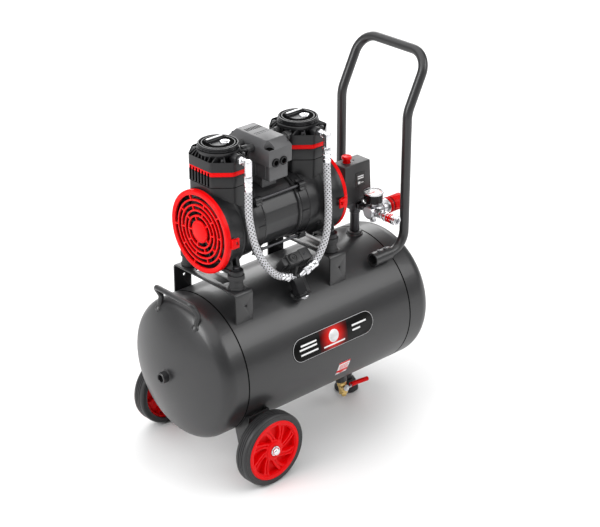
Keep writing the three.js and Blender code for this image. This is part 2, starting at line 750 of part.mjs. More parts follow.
function crankcaseSolid(shift) {
  const drum = bar([drumX0, 0, 0], [drumX1, 0, 0], DRUM_R, MEDIUM);
  const neckTop = COLUMN_Z - MOTOR_Z;
  const neck = block(drumX0 + 3, drumX1 - 8, HEAD_Y - NECK_HALF_Y, HEAD_Y + NECK_HALF_Y, 20, neckTop + 1);
  const column = prism(headOutline(shift), neckTop, deckZ - GAP);
  const reach = FOOT_REACH - HEAD_OFFSET;
  const footBase = SADDLE_TOP_Z + BUSH_HEIGHT + 2 * GAP - MOTOR_Z;
  const feet = [-1, 1].map((side) => {
    const y = side * BUSH_Y;
    const pad = bar([reach, y, footBase], [reach, y, footBase + 9], FOOT_PAD_R, SMALL);
    const low = Math.min(side * 36, y);
    const high = Math.max(side * 36, y);
    return join(pad, block(reach - 7, reach + 9, low, high, footBase, footBase + 9));
  });
  const webs = [-1, 1].map((side) => {
    const outline = [[side * 30, footBase + 2], [side * (BUSH_Y + 4), footBase + 2], [side * 57, -18]];
    return prismX(side > 0 ? outline : outline.reverse(), reach - 4, reach + 4);
  });
  const tieBosses = tieRodPlaces().map(([y, z]) => bar([drumX1 - 14, y, z], [drumX1, y, z], 8));
  const cavity = bar([drumX0 + 8, 0, 0], [drumX1 + 1, 0, 0], DRUM_R - DRUM_WALL, MEDIUM);
  const bearing = bar([drumX0 - 1, 0, 0], [drumX0 + 9, 0, 0], SHAFT_R + 1, SMALL);
  const bore = bar([-HEAD_OFFSET, 0, 10], [-HEAD_OFFSET, 0, deckZ + 1], BORE_R, MEDIUM);
  const tieHoles = tieRodPlaces().map(([y, z]) => (
    bar([drumX1 - 10, y, z], [drumX1 + 1, y, z], TIE_ROD_R + GAP, 6)));
  const castings = join(drum, neck, column, ...feet, ...webs, ...tieBosses);
  return cut(castings, cavity, bearing, bore, ...tieHoles);
}

function valvePlateSolid(shift) {
  const plate = prism(headOutline(shift), deckZ, deckZ + VALVE_PLATE);
  const ports = [-14, 14].map((y) => bar([-HEAD_OFFSET, y, deckZ - 1], [-HEAD_OFFSET, y, deckZ + 9], 6));
  return cut(plate, ...ports);
}

function cylinderHeadSolid(shift, outletShift) {
  const base = deckZ + VALVE_PLATE + GAP;
  const rim = HEAD_RIM_Z - MOTOR_Z;
  const capBase = HEAD_CAP_Z - CAP_THICK - GAP - MOTOR_Z;
  const cover = prism(headOutline(shift), base, rim);
  const cone = new THREE.CylinderGeometry(CAP_R + 0.5, CAP_R + 3, capBase - rim + 2, MEDIUM);
  cone.rotateX(Math.PI / 2).translate(-HEAD_OFFSET, CAP_Y, (capBase + rim - 2) / 2);
  const ribs = [];
  const ribCount = 8;
  for (let i = 0; i < ribCount; i += 1) {
    const rib = block(CAP_R - 3, CAP_R + 5, -1.5, 1.5, rim - 2, capBase - 4);
    ribs.push(rib.rotateZ((Math.PI * (2 * i + 1)) / ribCount).translate(-HEAD_OFFSET, CAP_Y, 0));
  }
  const chamber = bar([-HEAD_OFFSET, HEAD_Y, base - 1], [-HEAD_OFFSET, HEAD_Y, rim - 6], CHAMBER_R, SMALL);
  const outletX = -HEAD_OFFSET + outletShift;
  const outletZ = rim - 8;
  const outlet = bar([outletX, HEAD_Y - HEAD_HALF_Y - 1, outletZ], [outletX, HEAD_Y, outletZ], 4);
  const padZ = OUTLET_Z - MOTOR_Z;
  const outletPad = bar([outletX, HEAD_Y - HEAD_HALF_Y, padZ], [outletX, HEAD_Y, padZ], OUTLET_PAD_R, SMALL);
  const intake = bar([-HEAD_OFFSET, CAP_Y, rim - 8], [-HEAD_OFFSET, CAP_Y, capBase + 1], 8);
  return cut(join(cover, cone, outletPad, ...ribs), chamber, outlet, intake);
}

function filterCapSolid() {
  const top = HEAD_CAP_Z - MOTOR_Z;
  const base = top - CAP_THICK;
  const edge = 1.5;
  const disc = turned([
    [base, 0], [base, CAP_R], [top - edge, CAP_R], [top, CAP_R - edge], [top, 0],
  ], 'z', MEDIUM);
  disc.translate(-HEAD_OFFSET, CAP_Y, 0);
  const bump = turned([[-15, 0], [-15, 6], [15, 6], [15, 0]], 'x', SMALL);
  const above = block(-20, 20, -8, 8, 0.5, 8);
  const bumpTop = overlapOf(bump, above).translate(-HEAD_OFFSET - 8, CAP_Y + 14, top - 1);
  const screw = bar([-HEAD_OFFSET, CAP_Y, top - 1], [-HEAD_OFFSET, CAP_Y, top + 2], 5);
  return join(disc, bumpTop, screw);
}

// The piston and its rod are one rigid piece, as in any oil-free wobble piston.
// Its eye is large enough to clear the whole sweep of the crank pin.
function pistonSolid() {
  const eyeInner = CRANK_THROW + CRANK_PIN_R + STROKE / 2 + 1;
  const eyeOuter = eyeInner + ROD_EYE_WALL;
  const crownTop = deckZ - STROKE / 2 - 3;
  const eye = pipe(-5, 5, eyeOuter, eyeInner, 'x', SMALL).translate(-HEAD_OFFSET, 0, 0);
  const rod = block(-HEAD_OFFSET - 4, -HEAD_OFFSET + 4, -8, 8, eyeInner + 1, crownTop - 5);
  const crown = bar([-HEAD_OFFSET, 0, crownTop - 8], [-HEAD_OFFSET, 0, crownTop], PISTON_R, MEDIUM);
  return join(eye, rod, crown);
}

function fanSolid() {
  const back = drumX0 - 2;
  const front = back - 11;
  const hub = bar([back, 0, 0], [front - 1, 0, 0], 17, SMALL);
  const pieces = [hub];
  for (let i = 0; i < FAN_BLADES; i += 1) {
    const blade = new THREE.BoxGeometry(1.8, 17, FAN_R - 14);
    blade.rotateZ(degrees(32)).translate((back + front) / 2, 0, (FAN_R + 14) / 2);
    pieces.push(blade.rotateX((2 * Math.PI * i) / FAN_BLADES));
  }
  const bore = bar([back + 1, 0, 0], [front + 3, 0, 0], SHAFT_R - 2 + GAP);
  return cut(join(...pieces), bore);
}

// One slot of the guard's grille: part of a ring between two radii.
function slotOutline(inner, outer, from, to) {
  const steps = 4;
  const points = [];
  for (let i = 0; i <= steps; i += 1) {
    const turn = from + ((to - from) * i) / steps;
    points.push(new THREE.Vector2(outer * Math.cos(turn), outer * Math.sin(turn)));
  }
  for (let i = steps; i >= 0; i -= 1) {
    const turn = from + ((to - from) * i) / steps;
    points.push(new THREE.Vector2(inner * Math.cos(turn), inner * Math.sin(turn)));
  }
  return new THREE.Path(points);
}

// The flat grille: rows of slots round a plain hub, each row's ribs half a
// step round from those of the row before.
function grilleSolid(outerR) {
  const shape = new THREE.Shape().absarc(0, 0, outerR + 2, 0, 2 * Math.PI, false);
  const pitch = (outerR - GUARD_HUB_R) / GUARD_RINGS;
  const sector = (2 * Math.PI) / GUARD_RIBS;
  for (let i = 0; i < GUARD_RINGS; i += 1) {
    const inner = GUARD_HUB_R + pitch * i + (i > 0 ? GUARD_RIB / 2 : 0);
    const outer = GUARD_HUB_R + pitch * (i + 1) - (i < GUARD_RINGS - 1 ? GUARD_RIB / 2 : 0);
    const trim = GUARD_RIB / (inner + outer);
    for (let k = 0; k < GUARD_RIBS; k += 1) {
      const from = sector * (k + (i % 2) / 2);
      shape.holes.push(slotOutline(inner, outer, from + trim, from + sector - trim));
    }
  }
  const options = { depth: GUARD_SHEET, bevelEnabled: false, curveSegments: MEDIUM };
  const plate = closed(new THREE.ExtrudeGeometry(shape, options));
  return plate.applyMatrix4(new THREE.Matrix4().makeBasis(DIRECTIONS.y, DIRECTIONS.z, DIRECTIONS.x));
}

function guardSolid() {
  const back = drumX0 - 0.7;
  const face = back - GUARD_DEPTH;
  const inner = GUARD_R - GUARD_SHEET;
  const grilleR = GUARD_R - GUARD_BAND;
  const edge = 1.5;
  const skirt = turned([
    [back, inner], [back, GUARD_R], [face + edge, GUARD_R], [face, GUARD_R - edge], [face, grilleR],
    [face + GUARD_SHEET + 0.5, grilleR], [face + GUARD_SHEET + 2, inner],
  ], 'x', MEDIUM);
  const grille = grilleSolid(grilleR).translate(face + 0.25, 0, 0);
  const tabs = [-1, 1].map((side) => {
    const y0 = Math.min(side * (GUARD_R - 2), side * (GUARD_R + 3));
    return block(back - 9, back + 6, y0, y0 + 5, -9, 9);
  });
  const holes = [-1, 1].map((side) => {
    const y0 = Math.min(side * (GUARD_R - 5), side * (GUARD_R + 4));
    return block(back - 4.5, back + 1.5, y0, y0 + 9, -3, 3);
  });
  return cut(join(skirt, grille, ...tabs), ...holes);
}

function barrelSolid() {
  const tube = pipe(-BARREL_HALF, BARREL_HALF, BARREL_R, BARREL_R - BARREL_WALL, 'x');
  const flutes = [];
  for (let i = 0; i < BARREL_FLUTES; i += 1) {
    const flute = block(-BARREL_HALF + 7, BARREL_HALF - 7, -4, 4, BARREL_R - 1.6, BARREL_R + 2);
    flutes.push(flute.rotateX((2 * Math.PI * (i + 0.5)) / BARREL_FLUTES));
  }
  return cut(tube, ...flutes);
}

function statorSolid() {
  const half = BARREL_HALF - 6;
  const ring = pipe(-half, half, STATOR_R, ROTOR_R + 5, 'x');
  const slots = [];
  const slotCount = 6;
  for (let i = 0; i < slotCount; i += 1) {
    const slot = block(-half - 1, half + 1, -3, 3, ROTOR_R + 4, STATOR_R - 8);
    slots.push(slot.rotateX((2 * Math.PI * i) / slotCount));
  }
  return cut(ring, ...slots);
}

function rotorSolid() {
  const shaftEnd = -drumX0 + 9.5;
  const pieces = [
    bar([-shaftEnd, 0, 0], [shaftEnd, 0, 0], SHAFT_R - 2),
    bar([drumX0 - 1.5, 0, 0], [-drumX0 + 1.5, 0, 0], SHAFT_R, SMALL),
    bar([-BARREL_HALF + 8, 0, 0], [BARREL_HALF - 8, 0, 0], ROTOR_R, SMALL),
  ];
  for (const side of [-1, 1]) {
    const x = side * HEAD_OFFSET;
    pieces.push(bar([x - 6, 0, side * CRANK_THROW], [x + 6, 0, side * CRANK_THROW], CRANK_PIN_R, SMALL));
  }
  return join(...pieces);
}

function addPump() {
  add('motor_barrel', barrelSolid(), 'blackPlastic', pump);
  add('motor_stator', statorSolid(), 'copper', pump);
  add('motor_rotor', rotorSolid(), 'steel', pump);
  const halves = [['front', 1, (geometry) => geometry], ['rear', -1, mirroredX]];
  for (const [end, sign, place] of halves) {
    const shift = sign * HEAD_SHIFT;
    add(`crankcase_${end}`, place(crankcaseSolid(shift)), 'castGrey', pump);
    add(`valve_plate_${end}`, place(valvePlateSolid(shift)), 'redPlastic', pump);
    add(`cylinder_head_${end}`, place(cylinderHeadSolid(shift, sign * OUTLET_SHIFT)), 'castGrey', pump);
    add(`filter_cap_${end}`, place(filterCapSolid()), 'blackPlastic', pump);
    add(`piston_${end}`, place(pistonSolid()), 'steel', pump);
    add(`fan_${end}`, place(fanSolid()), 'blackPlastic', pump);
    add(`fan_guard_${end}`, place(guardSolid()), 'redPlastic', pump);
  }
}

// ---- Junction box and transfer pipes ---------------------------------------

function addJunctionBox() {
  const centre = [MOTOR_X, 0];
  const wide = [BOX_HALF_X, BOX_HALF_Y];
  const narrow = [BOX_HALF_X - BOX_STEP, BOX_HALF_Y - BOX_STEP];
  const top = frustum(wide, BOX_BEVEL_Z, [BOX_TOP_HALF_X, BOX_TOP_HALF_Y], BOX_TOP_Z, centre);
  const upper = frustum(wide, BOX_STEP_Z, wide, BOX_BEVEL_Z + 0.5, centre);
  const lower = frustum(narrow, BOX_BASE_Z, narrow, BOX_STEP_Z + 1, centre);
  const pedestal = block(MOTOR_X - 17, MOTOR_X + 17, -22, 22, MOTOR_Z + BARREL_R - 20, BOX_BASE_Z + 1);
  const barrel = bar([MOTOR_X - 60, 0, MOTOR_Z], [MOTOR_X + 60, 0, MOTOR_Z], BARREL_R + GAP, MEDIUM);
  const glandZ = BOX_STEP_Z + 6;
  const glands = GLAND_X.map((x) => (
    bar([MOTOR_X + x, -BOX_HALF_Y - 1, glandZ], [MOTOR_X + x, -BOX_HALF_Y + 9, glandZ], GLAND_R)));
  const slots = [];
  for (let i = 0; i < 6; i += 1) {
    const x = MOTOR_X - 14 + 5.6 * i;
    slots.push(block(x - 1.4, x + 1.4, 8, 20, BOX_TOP_Z - 3, BOX_TOP_Z + 1));
  }
  const box = cut(join(top, upper, lower, pedestal), barrel, ...glands, ...slots);
  add('junction_box', box, 'greyPlastic');

  for (const [end, side] of [['front', -1], ['rear', 1]]) {
    const headX = MOTOR_X + side * (HEAD_OFFSET - HEAD_HALF_X - GAP) + HEAD_SHIFT;
    const boxX = MOTOR_X + side * (BOX_HALF_X + GAP);
    const tubes = TRANSFER_Y.map((y) => bar([headX, y, TRANSFER_Z], [boxX, y, TRANSFER_Z], TRANSFER_R));
    const flangeX = headX - side * 4;
    const flange = block(Math.min(headX, flangeX), Math.max(headX, flangeX),
      TRANSFER_Y[0] - 9, TRANSFER_Y[1] + 9, TRANSFER_Z - 9, HEAD_RIM_Z);
    add(`transfer_pipe_${end}`, join(flange, ...tubes), 'castGrey');
  }
}

// ---- Air line --------------------------------------------------------------

function hosePath(points) {
  const places = points.map((point) => new THREE.Vector3(...point));
  return new THREE.CatmullRomCurve3(places, false, 'centripetal');
}

function addAirLine() {
  const faceY = HEAD_Y - HEAD_HALF_Y - GAP;
  for (const [end, side] of [['front', -1], ['rear', 1]]) {
    const points = HOSE_POINTS[end];
    const [x, y, topZ] = points[0];
    const portX = MOTOR_X + side * HEAD_OFFSET + OUTLET_SHIFT;
    const half = ELBOW_SIZE / 2;
    const neck = bar([portX, faceY, OUTLET_Z], [portX, y, OUTLET_Z], half);
    const body = block(x - half, x + half, y - half, y + half, OUTLET_Z - 27, OUTLET_Z + half);
    const start = new THREE.Vector3(x, y, topZ);
    const along = hosePath(points).getTangent(0);
    const ferruleEnd = start.clone().addScaledVector(along, -GAP);
    const ferruleTop = start.clone().addScaledVector(along, topZ - OUTLET_Z);
    const ferrule = bar(ferruleEnd.toArray(), ferruleTop.toArray(), HOSE_R + 1.4);
    add(`hose_elbow_${end}`, join(neck, body, ferrule), 'chrome');
    add(`hose_${end}`, sweep(hosePath(points), HOSE_R, 16, 8), 'braid');
  }

  const lean = degrees(CHECK_ANGLE);
  const teeR = TANK_R + CHECK_RISE;
  const tee = new THREE.Vector3(CHECK_X, -Math.sin(lean) * teeR, Math.cos(lean) * teeR);
  const down = new THREE.Vector3(0, -0.55, -0.835);
  const foot = tee.clone().addScaledVector(down, CHECK_BODY_LENGTH);
  const body = bar(tee.toArray(), foot.toArray(), CHECK_BODY_R, 6);
  const middle = tee.clone().lerp(foot, 0.5);
  const outward = new THREE.Vector3(0, middle.y, middle.z).normalize();
  const root = outward.clone().multiplyScalar(TANK_R + 0.7);
  const stub = bar([CHECK_X, root.y, root.z], middle.toArray(), 6.5);
  const arms = Object.values(HOSE_POINTS).map((points) => {
    const last = new THREE.Vector3(...points[points.length - 1]);
    const before = hosePath(points).getTangent(1);
    const end = last.clone().addScaledVector(before, GAP);
    const nut = last.clone().addScaledVector(before, 8);
    const collar = bar(end.toArray(), nut.toArray(), HOSE_R + 0.8);
    return join(collar, bar(nut.toArray(), tee.toArray(), HOSE_R - 1.5));
  });
  add('check_valve', join(body, stub, ...arms), 'steel');
  addUnloader();
}

// The unloader's casing is a box that leans with the tank, its outermost edge
// along COIL_EDGE_Y and COIL_EDGE_Z.
function addUnloader() {
  const [upper, lower] = COIL_SIZE;
  const tilt = degrees(COIL_TILT);
  const back = [Math.cos(tilt), Math.sin(tilt)];
  const down = [Math.sin(tilt), -Math.cos(tilt)];
  const corner = (u, v) => [
    COIL_EDGE_Y + back[0] * u + down[0] * v,
    COIL_EDGE_Z + back[1] * u + down[1] * v,
  ];
  const section = [corner(0, 0), corner(0, lower), corner(upper, lower), corner(upper, 0)];
  const casing = prismX(section, COIL_X0, COIL_X1);
  const plug = prismX([corner(3, 3), corner(3, lower - 3), corner(upper - 3, lower - 3), corner(upper - 3, 3)],
    COIL_X0 - 12, COIL_X0 + 1);
  const bossX = COIL_X0 + COIL_BOSS_R + 3;
  const bossBase = corner(upper / 2, 1);
  const bossTop = corner(upper / 2, -4);
  const boss = bar([bossX, ...bossBase], [bossX, ...bossTop], COIL_BOSS_R, SMALL);
  const stemX = (COIL_X0 + COIL_X1) / 2;
  const stemTop = corner(upper / 2, lower / 2);
  const stem = bar([stemX, ...stemTop], [stemX, stemTop[0] * 0.75, TANK_R - 30], 8, 6);
  const tank = bar([COIL_X0 - 20, 0, 0], [COIL_X1 + 20, 0, 0], TANK_R + GAP, LARGE);
  add('unloader_valve', cut(join(casing, plug, boss, stem), tank), 'blackPlastic');
}

// ---- Outlet riser and controls ---------------------------------------------

function addControls() {
  const half = MANIFOLD_SIZE / 2;
  const riser = bar([RISER_X, 0, TANK_R - 1], [RISER_X, 0, MANIFOLD_Z], RISER_R, SMALL);
  const manifold = block(RISER_X - half, RISER_X + half, -half, half, MANIFOLD_Z - half, SWITCH_BASE_Z - GAP);
  const branch = bar([RISER_X, 0, MANIFOLD_Z], [RISER_X, REGULATOR_Y + REGULATOR_R + GAP, MANIFOLD_Z], 8);
  const bore = bar([RISER_X, 0, TANK_R - 2], [RISER_X, 0, MANIFOLD_Z], RISER_BORE_R);
  add('outlet_riser', cut(join(riser, manifold, branch), bore), 'blackPaint');

  const top = [SWITCH_HALF_X - SWITCH_DRAFT, SWITCH_HALF_Y - SWITCH_DRAFT];
  const cover = frustum([SWITCH_HALF_X, SWITCH_HALF_Y], SWITCH_BASE_Z, top, SWITCH_TOP_Z, [SWITCH_X, 0]);
  const knobX = SWITCH_X - SWITCH_KNOB_BACK;
  const wellFloor = SWITCH_TOP_Z - SWITCH_KNOB_TRAVEL - 4;
  const well = bar([knobX, 0, wellFloor], [knobX, 0, SWITCH_TOP_Z + 1], SWITCH_STEM_R + GAP, SMALL);
  add('pressure_switch', cut(cover, well), 'blackPlastic');
  const knobTop = SWITCH_TOP_Z + SWITCH_KNOB_HEIGHT;
  const knob = turned([
    [wellFloor + GAP, 0], [wellFloor + GAP, SWITCH_STEM_R], [knobTop - 9, SWITCH_STEM_R],
    [knobTop - 7, SWITCH_KNOB_R], [knobTop - 1, SWITCH_KNOB_R], [knobTop, SWITCH_KNOB_R - 1],
    [knobTop, 0],
  ], 'z', SMALL);
  add('switch_knob', knob.translate(knobX, 0, 0), 'redPlastic');
  addRegulator();
}

function addRegulator() {
  const y = REGULATOR_Y;
  const z = MANIFOLD_Z;
  const plugX = RISER_X - 15;
  const bodyEnd = RISER_X + 35;
  const plug = bar([plugX, y, z], [plugX + 7, y, z], REGULATOR_PLUG_R, SMALL);
  const body = bar([plugX + 6, y, z], [bodyEnd, y, z], REGULATOR_R, SMALL);
  const bonnet = bar([RISER_X + 18, y, z], [bodyEnd, y, z], REGULATOR_R + 2, SMALL);
  const gaugeNeck = bar([RISER_X, y, z], [RISER_X, y, GAUGE_DIAL_Z - GAUGE_HEIGHT - GAP], 6);
  const spigot = bar([bodyEnd - 1, y, z], [bodyEnd + SPIGOT_LENGTH, y, z], SPIGOT_R, SMALL);
  add('regulator_body', join(plug, body, bonnet, gaugeNeck, spigot), 'chrome');

  const knobX = bodyEnd + GAP;
  const knobEnd = knobX + REGULATOR_KNOB_LENGTH;
  const socketR = SPIGOT_R + REGULATOR_FIT;
  const socketEnd = knobX + SPIGOT_LENGTH + 2;
  const grip = REGULATOR_KNOB_R;
  const knob = turned([
    [knobX, socketR], [knobX, grip], [knobX + 8, grip], [knobX + 9.5, grip - 1.5], [knobX + 11, grip - 1.5],
    [knobEnd - 2, grip - 0.5], [knobEnd, grip - 2.5], [knobEnd, 0], [socketEnd, 0], [socketEnd, socketR],
  ], 'x', SMALL).translate(0, y, z);
  add('regulator_knob', knob, 'redPlastic');

  const base = GAUGE_DIAL_Z - GAUGE_HEIGHT;
  const dial = GAUGE_DIAL_Z - 3.5;
  const bezelBase = GAUGE_DIAL_Z - 4;
  const inner = GAUGE_R - 1.8;
  const casing = turned([
    [base, 0], [base, GAUGE_R - 2], [base + 2, GAUGE_R - 1], [bezelBase, GAUGE_R - 1], [bezelBase, GAUGE_R],
    [GAUGE_DIAL_Z, GAUGE_R], [GAUGE_DIAL_Z, inner], [dial, inner], [dial, 0],
  ], 'z').translate(RISER_X, y, 0);
  add('gauge_case', casing, 'blackPlastic');
  const needle = join(
    bar([RISER_X, y, dial + GAP], [RISER_X, y, dial + 1.8], 2.2),
    block(RISER_X - 13, RISER_X + 4, y - 0.6, y + 0.6, dial + 0.6, dial + 1.3),
  );
  add('gauge_needle', needle, 'redPlastic');

  const tail = y - REGULATOR_R - GAP;
  const tip = tail - COUPLER_LENGTH;
  const sleeveR = COUPLER_R;
  const coreR = COUPLER_R - 3;
  const shoulder = tail - 14;
  const socketFloor = tip + COUPLER_BORE_DEPTH;
  const core = turned([
    [tail, 0], [tail, coreR + 1.5], [shoulder, coreR + 1.5], [shoulder, coreR - GAP],
    [tip, coreR - GAP], [tip, COUPLER_BORE_R], [socketFloor, COUPLER_BORE_R], [socketFloor, 0],
  ], 'y', SMALL).translate(RISER_X, 0, z);
  add('coupler_core', core, 'chrome');
  const sleeveBack = shoulder - COUPLER_TRAVEL - GAP;
  const sleeve = turned([
    [sleeveBack, coreR], [sleeveBack, sleeveR], [tip + 10, sleeveR], [tip + 8, sleeveR - 1],
    [tip + 6, sleeveR], [tip + 2, sleeveR], [tip + 2, coreR],
  ], 'y', SMALL).translate(RISER_X, 0, z);
  add('coupler_sleeve', sleeve, 'chrome');
}

// ---- Handles ---------------------------------------------------------------

function addHandles() {
  const socketZ = Math.sqrt((TANK_R + SOCKET_R + 2 * GAP) ** 2 - HANDLE_Y ** 2);
  const lean = HANDLE_TOP_Z - HANDLE_BEND_Z;
  const topX = HANDLE_X + HANDLE_LEAN * lean;
  const tubeStart = SOCKET_X0 + 14;
  const leg = (side) => [
    [tubeStart, side * HANDLE_Y, socketZ], [HANDLE_X, side * HANDLE_Y, socketZ],
    [HANDLE_X, side * HANDLE_Y, HANDLE_BEND_Z], [topX, side * HANDLE_Y, HANDLE_TOP_Z],
  ];
  const corners = [...leg(-1), ...leg(1).reverse()];
  const legBends = [HANDLE_FOOT_R, HANDLE_LEAN_R, HANDLE_CORNER_R];
  const bends = [...legBends, ...[...legBends].reverse()];
  add('push_handle', bentRod(corners, HANDLE_TUBE_R, bends, 4, 10), 'blackPaint');
  const socketEnd = HANDLE_X - HANDLE_FOOT_R - 2;
  for (const [name, side] of [['near', -1], ['far', 1]]) {
    const socket = pipe(SOCKET_X0, socketEnd, SOCKET_R, HANDLE_TUBE_R + GAP + 0.2, 'x', SMALL);
    add(`handle_socket_${name}`, socket.translate(0, side * HANDLE_Y, socketZ), 'blackPaint');
  }
  addGrabHandle();
}

// The carrying handle is a bent rod welded to the knuckle of the front head.
function addGrabHandle() {
  const [barX, barZ] = GRAB_BAR;
  const [kneeX, kneeZ] = GRAB_KNEE;
  const [rootX, rootZ] = GRAB_ROOT;
  const leg = (side) => [
    [rootX, side * GRAB_HALF_Y, rootZ], [kneeX, side * GRAB_HALF_Y, kneeZ], [barX, side * GRAB_HALF_Y, barZ],
  ];
  const rod = bentRod([...leg(-1), ...leg(1).reverse()], GRAB_R, [9, 9, 9, 9], 3, 8);
  const cover = mirroredX(turned([...headArc(FRONT_FLANGE, -GAP), [0, 0]], 'x', LARGE));
  const head = cover.translate(-SEAM_X - GAP, 0, 0);
  add('front_handle', cut(rod, head), 'blackPaint');
}

addTank();
addWheels();
addFoot();
addDrain();
addSaddles();
addPump();
addJunctionBox();
addAirLine();
addControls();
addHandles();

compressor.updateMatrixWorld(true);
const bounds = new THREE.Box3().setFromObject(compressor, true);
const centre = bounds.getCenter(new THREE.Vector3());
assembly.position.set(-centre.x, -centre.y, -bounds.min.z);

export default compressor;
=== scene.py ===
"""The looks of a portable twin-head oil-free air compressor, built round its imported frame.

Pieces are shaped in millimetres in the design frame: the origin is on the tank's axis, midway
between its weld seams, +X runs to the push handle, -Y is the side of the hoses, and +Z is up.
piece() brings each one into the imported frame, in metres.
"""

import math

import bmesh
import bpy
from mathutils import Matrix, Vector


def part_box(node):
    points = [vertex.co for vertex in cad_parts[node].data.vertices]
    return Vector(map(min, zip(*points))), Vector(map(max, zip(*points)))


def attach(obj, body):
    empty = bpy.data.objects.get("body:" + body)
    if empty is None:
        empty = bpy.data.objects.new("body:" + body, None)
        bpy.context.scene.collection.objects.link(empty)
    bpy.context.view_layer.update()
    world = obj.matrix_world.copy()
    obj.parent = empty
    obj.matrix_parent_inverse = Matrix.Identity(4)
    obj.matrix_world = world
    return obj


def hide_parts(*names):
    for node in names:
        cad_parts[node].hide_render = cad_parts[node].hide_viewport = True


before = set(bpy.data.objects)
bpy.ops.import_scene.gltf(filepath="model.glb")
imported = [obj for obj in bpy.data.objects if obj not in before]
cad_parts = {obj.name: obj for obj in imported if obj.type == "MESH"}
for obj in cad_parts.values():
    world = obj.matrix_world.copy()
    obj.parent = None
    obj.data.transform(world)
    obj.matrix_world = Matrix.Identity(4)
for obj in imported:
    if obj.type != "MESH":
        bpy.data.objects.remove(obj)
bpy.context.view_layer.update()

# ---- Driving dimensions, in millimetres ------------------------------------

MM = 0.001
ROUND = 96  # facets round a turn, from large parts down to screws
FINE = 64
MIDDLE = 48
SMALL = 24
WELD = 1e-3  # corners closer than this become one
ENDS = (("front", -1), ("rear", 1))
SIDES = (("near", -1), ("far", 1))

TANK_R = 134.0
TANK_WALL = 2.5
SEAM_X = 201.2
KNUCKLE_R = 30.0
CROWN_R = 268.0
FRONT_FLANGE = 25.0
REAR_FLANGE = 31.0

WHEEL_X = -167.0
WHEEL_Z = -128.6
WHEEL_FACE_Y = 161.3
RIM_R = 57.7
TYRE_R = 70.1
TYRE_WIDTH = 28.0
SPOKES = 8
SPOKE_ROOT = 19.5
SPOKE_LENGTH = 30.0
SPOKE_SWEEP = 0.42
FLOOR_Z = WHEEL_Z - TYRE_R

FOOT_X = 166.0
DRAIN_X = 112.0
DRAIN_TILT = math.radians(16)

SADDLE_X = {"front": -168.8, "rear": 56.6}
SADDLE_WIDTH = 38.9
SADDLE_SPAN = 86.4
SADDLE_TOP = 160.9
SADDLE_SHEET = 3.0
MOUNT_Y = 65.0
MOUNT_HEIGHT = 27.0

MOTOR_X = -53.5
MOTOR_Z = 255.3
BARREL_R = 60.0
BARREL_HALF = 43.2
DRUM_END = 124.5  # outer end of each drum, from the middle of the motor
GUARD_R = 76.6
GUARD_DEPTH = 18.0
GRILLE_ROWS = 5
GRILLE_RIBS = 5
HEAD_OFFSET = 92.9
HEAD_SHIFT = 4.5
HEAD_Y = 8.0
CAP_Y = 3.0
HEAD_HALF = (44.0, 55.0)
HEAD_CORNER = (30.0, 26.0)
HEAD_FACE_Y = HEAD_Y - HEAD_HALF[1]
BORE_R = 30.2  # clears the pistons
SLOT_COUNT = 7
SLOT_PITCH = 8.0
SLOT_DEPTH = 9.0
SLOT_FOOT_Z = 342.0
COLUMN_Z = 341.5
STRIP_Z = (362.0, 370.0)
RIM_Z = 389.0
CAP_Z = 410.0
CAP_R = 36.0

BOX_HALF = (27.0, 54.0)
BOX_Z = (329.0, 359.0, 390.0, 404.5)  # base, step, bevel, top
GLAND_X = (-12, 6)
GLAND_Z = 365
TRANSFER_Z = 385.0
TRANSFER_Y = (-10.5, 16.5)

HOSE_R = 7.0
HOSE_POINTS = {
    "front": [
        (-142.5, -70, 342), (-142.8, -70.5, 325), (-144, -72, 299), (-143.5, -77, 271),
        (-138, -80.5, 240), (-122, -84, 203), (-95, -86, 170), (-66, -83.5, 154.5),
    ],
    "rear": [
        (42, -70, 344), (41.8, -71, 320), (41, -74, 290), (38, -79, 250),
        (29, -84, 210), (12, -86, 178), (-6, -85.5, 160.5), (-16, -83.5, 155),
    ],
}
BRAID_STRANDS = 6
OUTLET_SHIFT = 3.5
OUTLET_Z = 391.0
CHECK_TEE = (-41.0, -82.0, 142.0)
CHECK_AXIS = (0.0, -0.55, -0.835)
CHECK_LENGTH = 34.0
COIL_X = (-53.0, 0.0)
COIL_SIZE = (21.0, 28.0)
COIL_TILT = math.radians(41)
COIL_EDGE = (-80.0, 173.0)

RISER_X = 182.4
MANIFOLD_Z = 196.0
REGULATOR_Y = -48.5
SWITCH_X = 171.0
SWITCH_Z = (208.0, 285.0)
GAUGE_Z = 236.0
GAUGE_R = 19.0
DIAL_START = -135  # degrees from straight away, clockwise seen from above
DIAL_STEP = 9
DIAL_TICKS = 31
RED_TICK = 24

HANDLE_R = 9.0
HANDLE_Y = 86.0
HANDLE_X = 228.0
HANDLE_BEND_Z = 388.0
HANDLE_TOP_Z = 490.5
HANDLE_LEAN = 0.5
SOCKET_X = (145.5, 190.0)
SOCKET_R = 13.0

PLATE_MIDDLE = (4.5, 12.0)  # place along the tank, and degrees above its side
PLATE_HALF = (100.5, 23.0)
CARD_MIDDLE = (36, -22.5)

CAMERA_AT = (-1913.79, -2129.14, 1532.84)
CAMERA_AZIMUTH = math.radians(-42.566)
CAMERA_ELEVATION = math.radians(26.116)
CAMERA_LENS = 104.09
FLOOR_HALF = 30.0  # metres, as the lights' places and sizes below
FLOOR_SHADE = 0.80
WORLD_STRENGTH = 0.31
CEILING_POWER = 2.6
CEILING_SPREAD = math.radians(95)
CEILING_LEAN = (math.radians(-8), math.radians(-16), 0)
LIGHTS_AIM = (0, 0, 0.3)
SOFTBOXES = {  # place, size, power
    "right_softbox": ((1.3, -2.0, 1.9), (2.0, 1.4), 34),
    "left_softbox": ((-2.3, 0.3, 1.5), (1.0, 1.4), 34),
    "back_softbox": ((2.5, 2.6, 1.9), (3.2, 1.5), 66),
}

